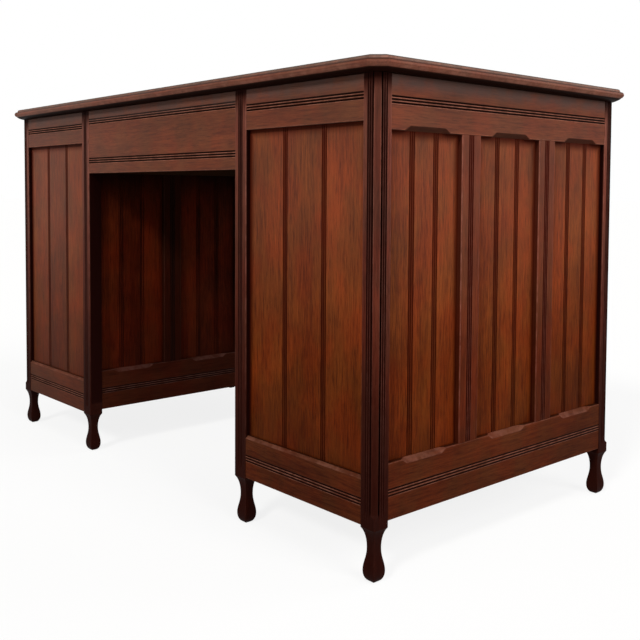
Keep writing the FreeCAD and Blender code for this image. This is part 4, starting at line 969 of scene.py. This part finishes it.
for inset, drop, tooled in (
    (0, hide_high - hide_low, 0), (0, 0.0005, 0), (0.0005, 0, 0), (0.0115, 0, 0), (0.0119, 0.0003, 1),
    (0.0127, 0.0003, 1), (0.0131, 0, 0), (0.0165, 0, 0), (0.0168, 0.0002, 1), (0.0172, 0.0002, 1),
    (0.0175, 0, 0), (0.05, 0, 0),
):
    half_x, half_y = hide_reach_x - inset, hide_reach_y - inset
    corners = [Vector((sx * half_x, sy * half_y, hide_high - drop)) for sx, sy in CORNERS]
    ring = []
    for number in range(4):
        for step in range(hide_steps):
            point = corners[number].lerp(corners[(number + 1) % 4], step / hide_steps)
            ring.append((point, float(tooled), 0.0))
    hide_rings.append(ring)
make_piece(
    "tooled_writing_leather", [marked_solid(hide_rings)], leather, "desk_carcass",
    ["leather_writing_surface"],
)


# The sitter's side: plain rails between the drawers, and lapped drawer fronts with a band of three
# grooves near their upper and lower edges, which hold dark wax.

front_wood = polished_wood(
    "drawer_front_wood", "along_x", (0.215, 0.052, 0.016), (0.078, 0.017, 0.006), figure=1.15, marked=False
)
divider_wood = polished_wood(
    "front_rail_wood", "along_x", (0.150, 0.044, 0.021), (0.062, 0.016, 0.008), marked=False
)
drawer_face = -0.309
# The wax lies in the grooves, up to 1.5 mm behind the face, and not on the rest of the front's edges.
front_tree = front_wood.node_tree
front_place = wire(front_tree, "ShaderNodeTexCoord", output="Object")
behind_face = axes_of(front_place)[1] - drawer_face
front_wear_and_painted_light = next(node for node in front_tree.nodes if node.type == "GROUP" and node.node_tree == wear_and_painted_light)
groove_floor = spread(behind_face, 0.0001, 0.0007) * spread(behind_face, 0.0015, 0.0021, 1.0, 0.0)
feed(front_wear_and_painted_light, {"Groove": groove_floor})

drawer_names = [f"{hand}_{row}_drawer" for hand, _ in HANDS for row in ("top", "middle", "bottom")]
drawer_names.append("centre_drawer")
for name in drawer_names:
    drawer_front = nodes[f"{name}_front"]
    drawer_front.material_slots[0].material = front_wood
    softened = drawer_front.modifiers.new("softened_arris", "BEVEL")
    softened.width = 0.0004
    softened.segments = 2
    softened.limit_method = "ANGLE"
    softened.angle_limit = math.radians(60)
for name in ("left_front_rails", "right_front_rails", "kneehole_front_rails"):
    nodes[name].material_slots[0].material = divider_wood


# Inside, the drawer boxes, the runners and the glue blocks are of plain pale wood, left bare and
# gone a little grey with handling.

def bare_wood(name, pale, deep, sheen=(0.6, 0.75), foot=(0.02, 0.62, 0.54)):
    return polished_wood(name, "along_y", pale, deep, sheen, foot=foot, painted_sheen=0, marked=False)


lining_wood = bare_wood("drawer_lining_wood", (0.25, 0.125, 0.050), (0.12, 0.055, 0.021), (0.55, 0.7))
block_wood = bare_wood("inner_wood", (0.13, 0.062, 0.026), (0.06, 0.027, 0.011))
# The centre drawer's lining is painted near black low down, where its underside is in shade under the frieze.
shaded_centre_lining = bare_wood(
    "centre_drawer_lining", (0.25, 0.125, 0.050), (0.12, 0.055, 0.021), (0.55, 0.7), (0.6304, 0.636, 0.95)
)
# The centre drawer's runners are a much darker copy of the inner wood.
darker_centre_runner = bare_wood("centre_runner_wood", (0.03, 0.014, 0.006), (0.014, 0.006, 0.003))
for name in drawer_names:
    nodes[f"{name}_box"].material_slots[0].material = shaded_centre_lining if name == "centre_drawer" else lining_wood
for name in ("drawer_runners", "top_glue_blocks"):
    nodes[name].material_slots[0].material = block_wood
nodes["centre_drawer_runners"].material_slots[0].material = darker_centre_runner


# The drop handles, keyhole plates and locks are of cast and turned brass, dulled to brown where
# hands don't rub it. The pulls are bolted through the fronts, and plates and locks are screwed on.

brass, metal, brass_place = new_material("aged_brass")
tarnish = streaks(brass_place, 130, 130, 5, 0.65)
feed(metal, {
    "Base Color": blend_colour(spread(tarnish, 0.38, 0.68), (0.60, 0.40, 0.15), (0.20, 0.115, 0.045)),
    "Roughness": spread(tarnish, 0.3, 0.7, 0.24, 0.52),
    "Metallic": 1.0,
    "Normal": bump(streaks(brass_place, 900, 900, 3), 0.2, 0.0002),
})


def even_angles(steps):
    return [math.tau * step / steps for step in range(steps)]


def face_ring(centre, out, angles, reaches):
    """Points round a line across the drawer front, at a distance out from a centre on it."""
    return [centre + Vector((r * math.cos(a), -out, r * math.sin(a))) for a, r in zip(angles, reaches)]


def ring_solid(rings, closed=False):
    """Skins a row of rings; closed joins the last ring to the first, else a ring of one point ends it."""
    verts, rows = [], []
    for ring in rings:
        rows.append(range(len(verts), len(verts) + len(ring)))
        verts += [tuple(point) for point in ring]
    faces = []
    for low, high in list(zip(rows, rows[1:])) + ([(rows[-1], rows[0])] if closed else []):
        count = max(len(low), len(high))
        for column in range(count):
            after = (column + 1) % count
            corners = [low[column % len(low)], low[after % len(low)]]
            corners += [high[after % len(high)], high[column % len(high)]]
            faces.append(tuple(dict.fromkeys(corners)))
    return verts, faces, {}


def turned(profile, centre):
    """A turning across the drawer front: the profile is (radius, distance out) from end to end."""
    steps = 40
    rings = []
    for radius, out in profile:
        rings.append(face_ring(centre, out, even_angles(steps if radius else 1), [radius] * steps))
    return ring_solid(rings)


def bent_rod(points, radii):
    """A round rod through points that lie in one upright plane, with domed ends."""
    across = Vector((0, 1, 0))
    rings = []
    for number, (point, radius) in enumerate(zip(points, radii)):
        way = points[min(number + 1, len(points) - 1)] - points[max(number - 1, 0)]
        side = way.normalized().cross(across)
        rings.append([point + radius * (math.cos(a) * side + math.sin(a) * across) for a in even_angles(20)])
    return ring_solid([[points[0]]] + rings + [[points[-1]]])


def straight_rod(centre, start, end, radii, steps):
    """A rod along X past a centre: radii gives (share of the way, radius) from its start to its end."""
    rings = [[centre + Vector((start, 0, 0))]]
    for share, radius in radii:
        middle = centre + Vector((start + (end - start) * share, 0, 0))
        rings.append([
            middle + Vector((0, radius * math.cos(a), radius * math.sin(a))) for a in even_angles(steps)
        ])
    return ring_solid(rings + [[centre + Vector((end, 0, 0))]])


drawer_back_plane = drawer_face + 0.020
pull_spacing = 0.080
pull_lift = 0.006
pull_radius = 0.0046
pivot_out = 0.0104
pin_radius = 0.0017
bore_radius = 0.00178
half_bore = 0.0065
arm_gap = 0.003
pull_profile = [
    (0, -0.0235), (0.0016, -0.0235), (0.0020, -0.0231), (0.0020, 0), (0.0116, 0), (0.0120, 0.0004),
    (0.0119, 0.0011), (0.0115, 0.0015), (0.0110, 0.0015), (0.0106, 0.0011), (0.0098, 0.0011),
    (0.0092, 0.0017), (0.0080, 0.0021), (0.0066, 0.0022), (0.0050, 0.0022), (0.0044, 0.0026),
    (0.0037, 0.0036), (0.0034, 0.0048), (0.0036, 0.0058), (0.0042, 0.0066), (pull_radius, 0.0078),
    (pull_radius, 0.0128), (0.0043, 0.0139), (0.0035, 0.0146), (0.0020, 0.0149), (0, 0.0150),
]


def six_sided_nut(centre):
    """A nut on the bolt of a pull: each ring is (radius, distance out, how far from round to six-sided)."""
    sixth, angles = math.pi / 3, even_angles(48)
    rings = []
    for radius, out, flat in (
        (0.0020, 0, 0), (0.0050, 0, 1), (0.0050, -0.0031, 1), (0.0046, -0.0035, 0.4), (0.0020, -0.0035, 0),
    ):
        reaches = []
        for angle in angles:
            to_flat = (angle + sixth / 2) % sixth - sixth / 2
            reaches.append(radius * (1 - flat + flat * math.cos(sixth / 2) / math.cos(to_flat)))
        rings.append(face_ring(centre, out, angles, reaches))
    return ring_solid(rings, closed=True)


def keyhole_plate(centre):
    """A round plate with a small bead at its rim, pierced with a round eye over a straight slot."""
    eye, half_slot, slot_end = 0.0024, 0.0011, 0.0070
    corner = math.asin(half_slot / eye)
    angles = even_angles(60)
    for lean in (math.atan(half_slot / slot_end), corner):
        angles += [-math.pi / 2 - lean, -math.pi / 2 + lean]
    angles = sorted({round(angle % math.tau, 6) for angle in angles})
    hole = []
    for angle in angles:
        lean = abs((angle + math.pi / 2 + math.pi) % math.tau - math.pi)
        reach = eye
        if lean < corner:
            reach = min(slot_end / math.cos(lean), half_slot / max(math.sin(lean), 0.0001))
        hole.append(max(reach, eye))
    rings = []
    for rim, share, out in (
        (0, 1, 0.0), (0, 1, 0.0008), (0.0003, 1, 0.0010), (0.0080, 0, 0.0010), (0.0083, 0, 0.0013),
        (0.0086, 0, 0.0014), (0.0089, 0, 0.0011), (0.0090, 0, 0.0006), (0.0090, 0, 0.0),
    ):
        rings.append(face_ring(centre, out, angles, [share * inner + rim for inner in hole]))
    return ring_solid(rings, closed=True)


def lock_case(low, high):
    """The lock's shallow brass case, with softened edges on the side toward the drawer."""
    edge = 0.0008
    rings = []
    for inset, y in ((0, low.y), (0, high.y - edge), (edge * 0.3, high.y - edge * 0.3), (edge, high.y)):
        x0, x1, z0, z1 = low.x + inset, high.x - inset, low.z + inset, high.z - inset
        rings.append([(x0, y, z0), (x1, y, z0), (x1, y, z1), (x0, y, z1)])
    return *drawn_solid(rings), {}


def slotted_screws():
    """A tree for domed screw heads with a sawn slot, one at each corner of an oblong in XY."""
    tree, size, end = new_tree(
        "slotted_screws",
        "GeometryNodeTree",
        [
            ("Width", "Float"), ("Height", "Float"), ("Head Radius", "Float"), ("Head Height", "Float"),
            ("Slot Width", "Float"), ("Seed", "Int"), ("Metal", "Material"),
        ],
        [("Screws", "Geometry")],
    )
    radius, tall = size["Head Radius"], size["Head Height"]
    corners = wire(tree, "GeometryNodeMeshGrid", {
        "Size X": size["Width"], "Size Y": size["Height"], "Vertices X": 2, "Vertices Y": 2,
    })
    head = wire(tree, "GeometryNodeMeshCone", {
        "Vertices": 28, "Fill Segments": 2, "Radius Bottom": radius, "Radius Top": radius * 0.72,
        "Depth": tall,
    })
    saw = wire(tree, "GeometryNodeMeshCube", {"Size": vector(tree, radius * 3.0, size["Slot Width"], tall)})
    raised = wire(tree, "GeometryNodeTransform", {"Geometry": saw, "Translation": vector(tree, z=tall)})
    sawn = {"Mesh 1": head, "Mesh 2": raised}
    slotted = wire(tree, "GeometryNodeMeshBoolean", sawn, operation="DIFFERENCE")
    limits = {3: math.pi, "Seed": size["Seed"]}
    turn = wire(tree, "FunctionNodeRandomValue", limits, 1, data_type="FLOAT")
    placed = {"Points": corners, "Instance": slotted, "Rotation": vector(tree, z=turn)}
    close_tree(end, wire(tree, "GeometryNodeInstanceOnPoints", placed), size["Metal"])
    return tree


screw_tree = slotted_screws()
lock_width, lock_height, lock_depth = 0.044, 0.046, 0.009
key_drop = 0.033
front_gap = 0.0012
lock_screw_inset = 0.005
lock_screw_radius = 0.0021
plate_thickness = 0.0010
plate_screw_spacing = 0.0126
plate_screw_radius = 0.0008
head_height = 0.0012
head_slot = 0.0006


def screw_heads(centre, width, height, radius, seed, toward):
    """Screw heads round a centre, standing out of the drawer front (-1) or into the drawer (1)."""
    mesh = grown_mesh("screws", screw_tree, {
        "Width": width, "Height": height, "Head Radius": radius, "Head Height": head_height,
        "Slot Width": head_slot, "Seed": seed, "Metal": brass,
    })
    turn_up = Matrix.Rotation(math.radians(-90 * toward), 4, "X")
    mesh.transform(Matrix.Translation(centre) @ turn_up)
    verts = [tuple(vertex.co) for vertex in mesh.vertices]
    faces = [tuple(face.vertices) for face in mesh.polygons]
    bpy.data.meshes.remove(mesh)
    return verts, faces, {}


def drop_handle(node_name, x, z):
    """A cast bail that hangs on two pins, with a swelling between beads in the middle of its grip."""
    arm = pull_spacing / 2 + pull_radius + arm_gap
    drop, bend = 0.027, 0.009
    points, radii = [], []
    for lift, radius in (
        (0.0017, 0.0018), (0.0012, 0.0023), (0, 0.0026), (-0.003, 0.0026), (-0.005, 0.0021), (-0.010, 0.0022),
    ):
        points.append(Vector((-arm, 0, lift)))
        radii.append(radius)
    for step in range(9):
        angle = math.pi / 2 * step / 8
        turn = Vector((-math.cos(angle), 0, -math.sin(angle)))
        points.append(Vector((-arm + bend, 0, -drop + bend)) + bend * turn)
        radii.append(0.0023 + 0.0003 * step / 8)
    for place, radius in (
        (-0.022, 0.0026), (-0.009, 0.0027), (-0.0075, 0.0024), (-0.0062, 0.0029), (-0.003, 0.0031),
        (0, 0.0032),
    ):
        points.append(Vector((place, 0, -drop)))
        radii.append(radius)
    points += [Vector((-point.x, 0, point.z)) for point in reversed(points[:-1])]
    radii += radii[-2::-1]
    centre = Vector((x, drawer_face - pivot_out, z))
    parts = [bent_rod([centre + point for point in points], radii)]
    pin_length = 2 * pull_radius + arm_gap
    pin_radii = [(0, 0.0015), (0.02, pin_radius), (0.97, pin_radius), (1.0, 0.0013)]
    for side in (-1, 1):
        parts.append(straight_rod(centre, side * arm, side * (arm - pin_length), pin_radii, 16))
    make_piece(f"{node_name}_drop", parts, brass, f"{node_name}_bail", [node_name], 40)


def bore(posts, bores):
    """Cuts rods out of a piece and leaves it a plain mesh."""
    bore_verts, bore_faces, _ = joined(bores)
    cutter_mesh = bpy.data.meshes.new("pin_holes")
    cutter_mesh.from_pydata(bore_verts, [], bore_faces)
    cutter = bpy.data.objects.new("pin_holes", cutter_mesh)
    bpy.context.collection.objects.link(cutter)
    boring = posts.modifiers.new("boring", "BOOLEAN")
    boring.object = cutter
    boring.solver = "EXACT"
    bored = bpy.data.meshes.new_from_object(posts.evaluated_get(bpy.context.evaluated_depsgraph_get()))
    posts.modifiers.clear()
    posts.data = bored
    bpy.data.objects.remove(cutter)


def drawer_brass(name, x, floor_z, height, pulls, seed):
    """floor_z and height are of the drawer front; pulls are the places of its handles along it."""
    pull_z = floor_z + height / 2 + pull_lift
    key_z = floor_z + height - key_drop
    lock_top = floor_z + height - front_gap
    places = [
        Vector((x + offset + side * pull_spacing / 2, drawer_face, pull_z))
        for offset in pulls for side in (-1, 1)
    ]
    turnings = [turned(pull_profile, place) for place in places]
    posts = make_piece(f"{name}_pull_posts", turnings, brass, name, [], 40)
    bore_radii = [(0, bore_radius), (1, bore_radius)]
    pivots = [place - Vector((0, pivot_out, 0)) for place in places]
    bore(posts, [straight_rod(pivot, -half_bore, half_bore, bore_radii, 24) for pivot in pivots])

    nut_seat = Vector((0, drawer_back_plane - drawer_face, 0))
    case_low = Vector((x - lock_width / 2, drawer_back_plane, lock_top - lock_height))
    case_high = Vector((x + lock_width / 2, drawer_back_plane + lock_depth, lock_top))
    make_piece(
        f"{name}_lock_and_nuts",
        [six_sided_nut(place + nut_seat) for place in places] + [
            keyhole_plate(Vector((x, drawer_face, key_z))),
            screw_heads(
                Vector((x, drawer_face - plate_thickness, key_z)), plate_screw_spacing, 0.0,
                plate_screw_radius, seed, -1,
            ),
            lock_case(case_low, case_high),
            screw_heads(
                Vector((x, case_high.y, lock_top - lock_height / 2)), lock_width - 2 * lock_screw_inset,
                lock_height - 2 * lock_screw_inset, lock_screw_radius, seed + 20, 1,
            ),
        ],
        brass, name, [f"{name}_brass_fittings"], 35,
    )


# Each row of drawers is (the lower edge of its fronts, their height).
rows = {"top": (0.621, 0.099), "middle": (0.3975, 0.2055), "bottom": (0.118, 0.2615)}
for hand, side in HANDS:
    for number, (row, (row_floor, row_height)) in enumerate(rows.items()):
        name = f"{hand}_{row}_drawer"
        middle = side * sum(bay_ends) / 2
        drawer_brass(name, middle, row_floor, row_height, [0], 5 + number * 3 + side)
        drop_handle(f"{name}_handle", middle, row_floor + row_height / 2 + pull_lift)
row_floor, row_height = rows["top"]
centre_pulls = [-0.140, 0.140]
drawer_brass("centre_drawer", 0, row_floor, row_height, centre_pulls, 17)
for number, offset in enumerate(centre_pulls, 1):
    drop_handle(f"centre_drawer_handle_{number}", offset, row_floor + row_height / 2 + pull_lift)
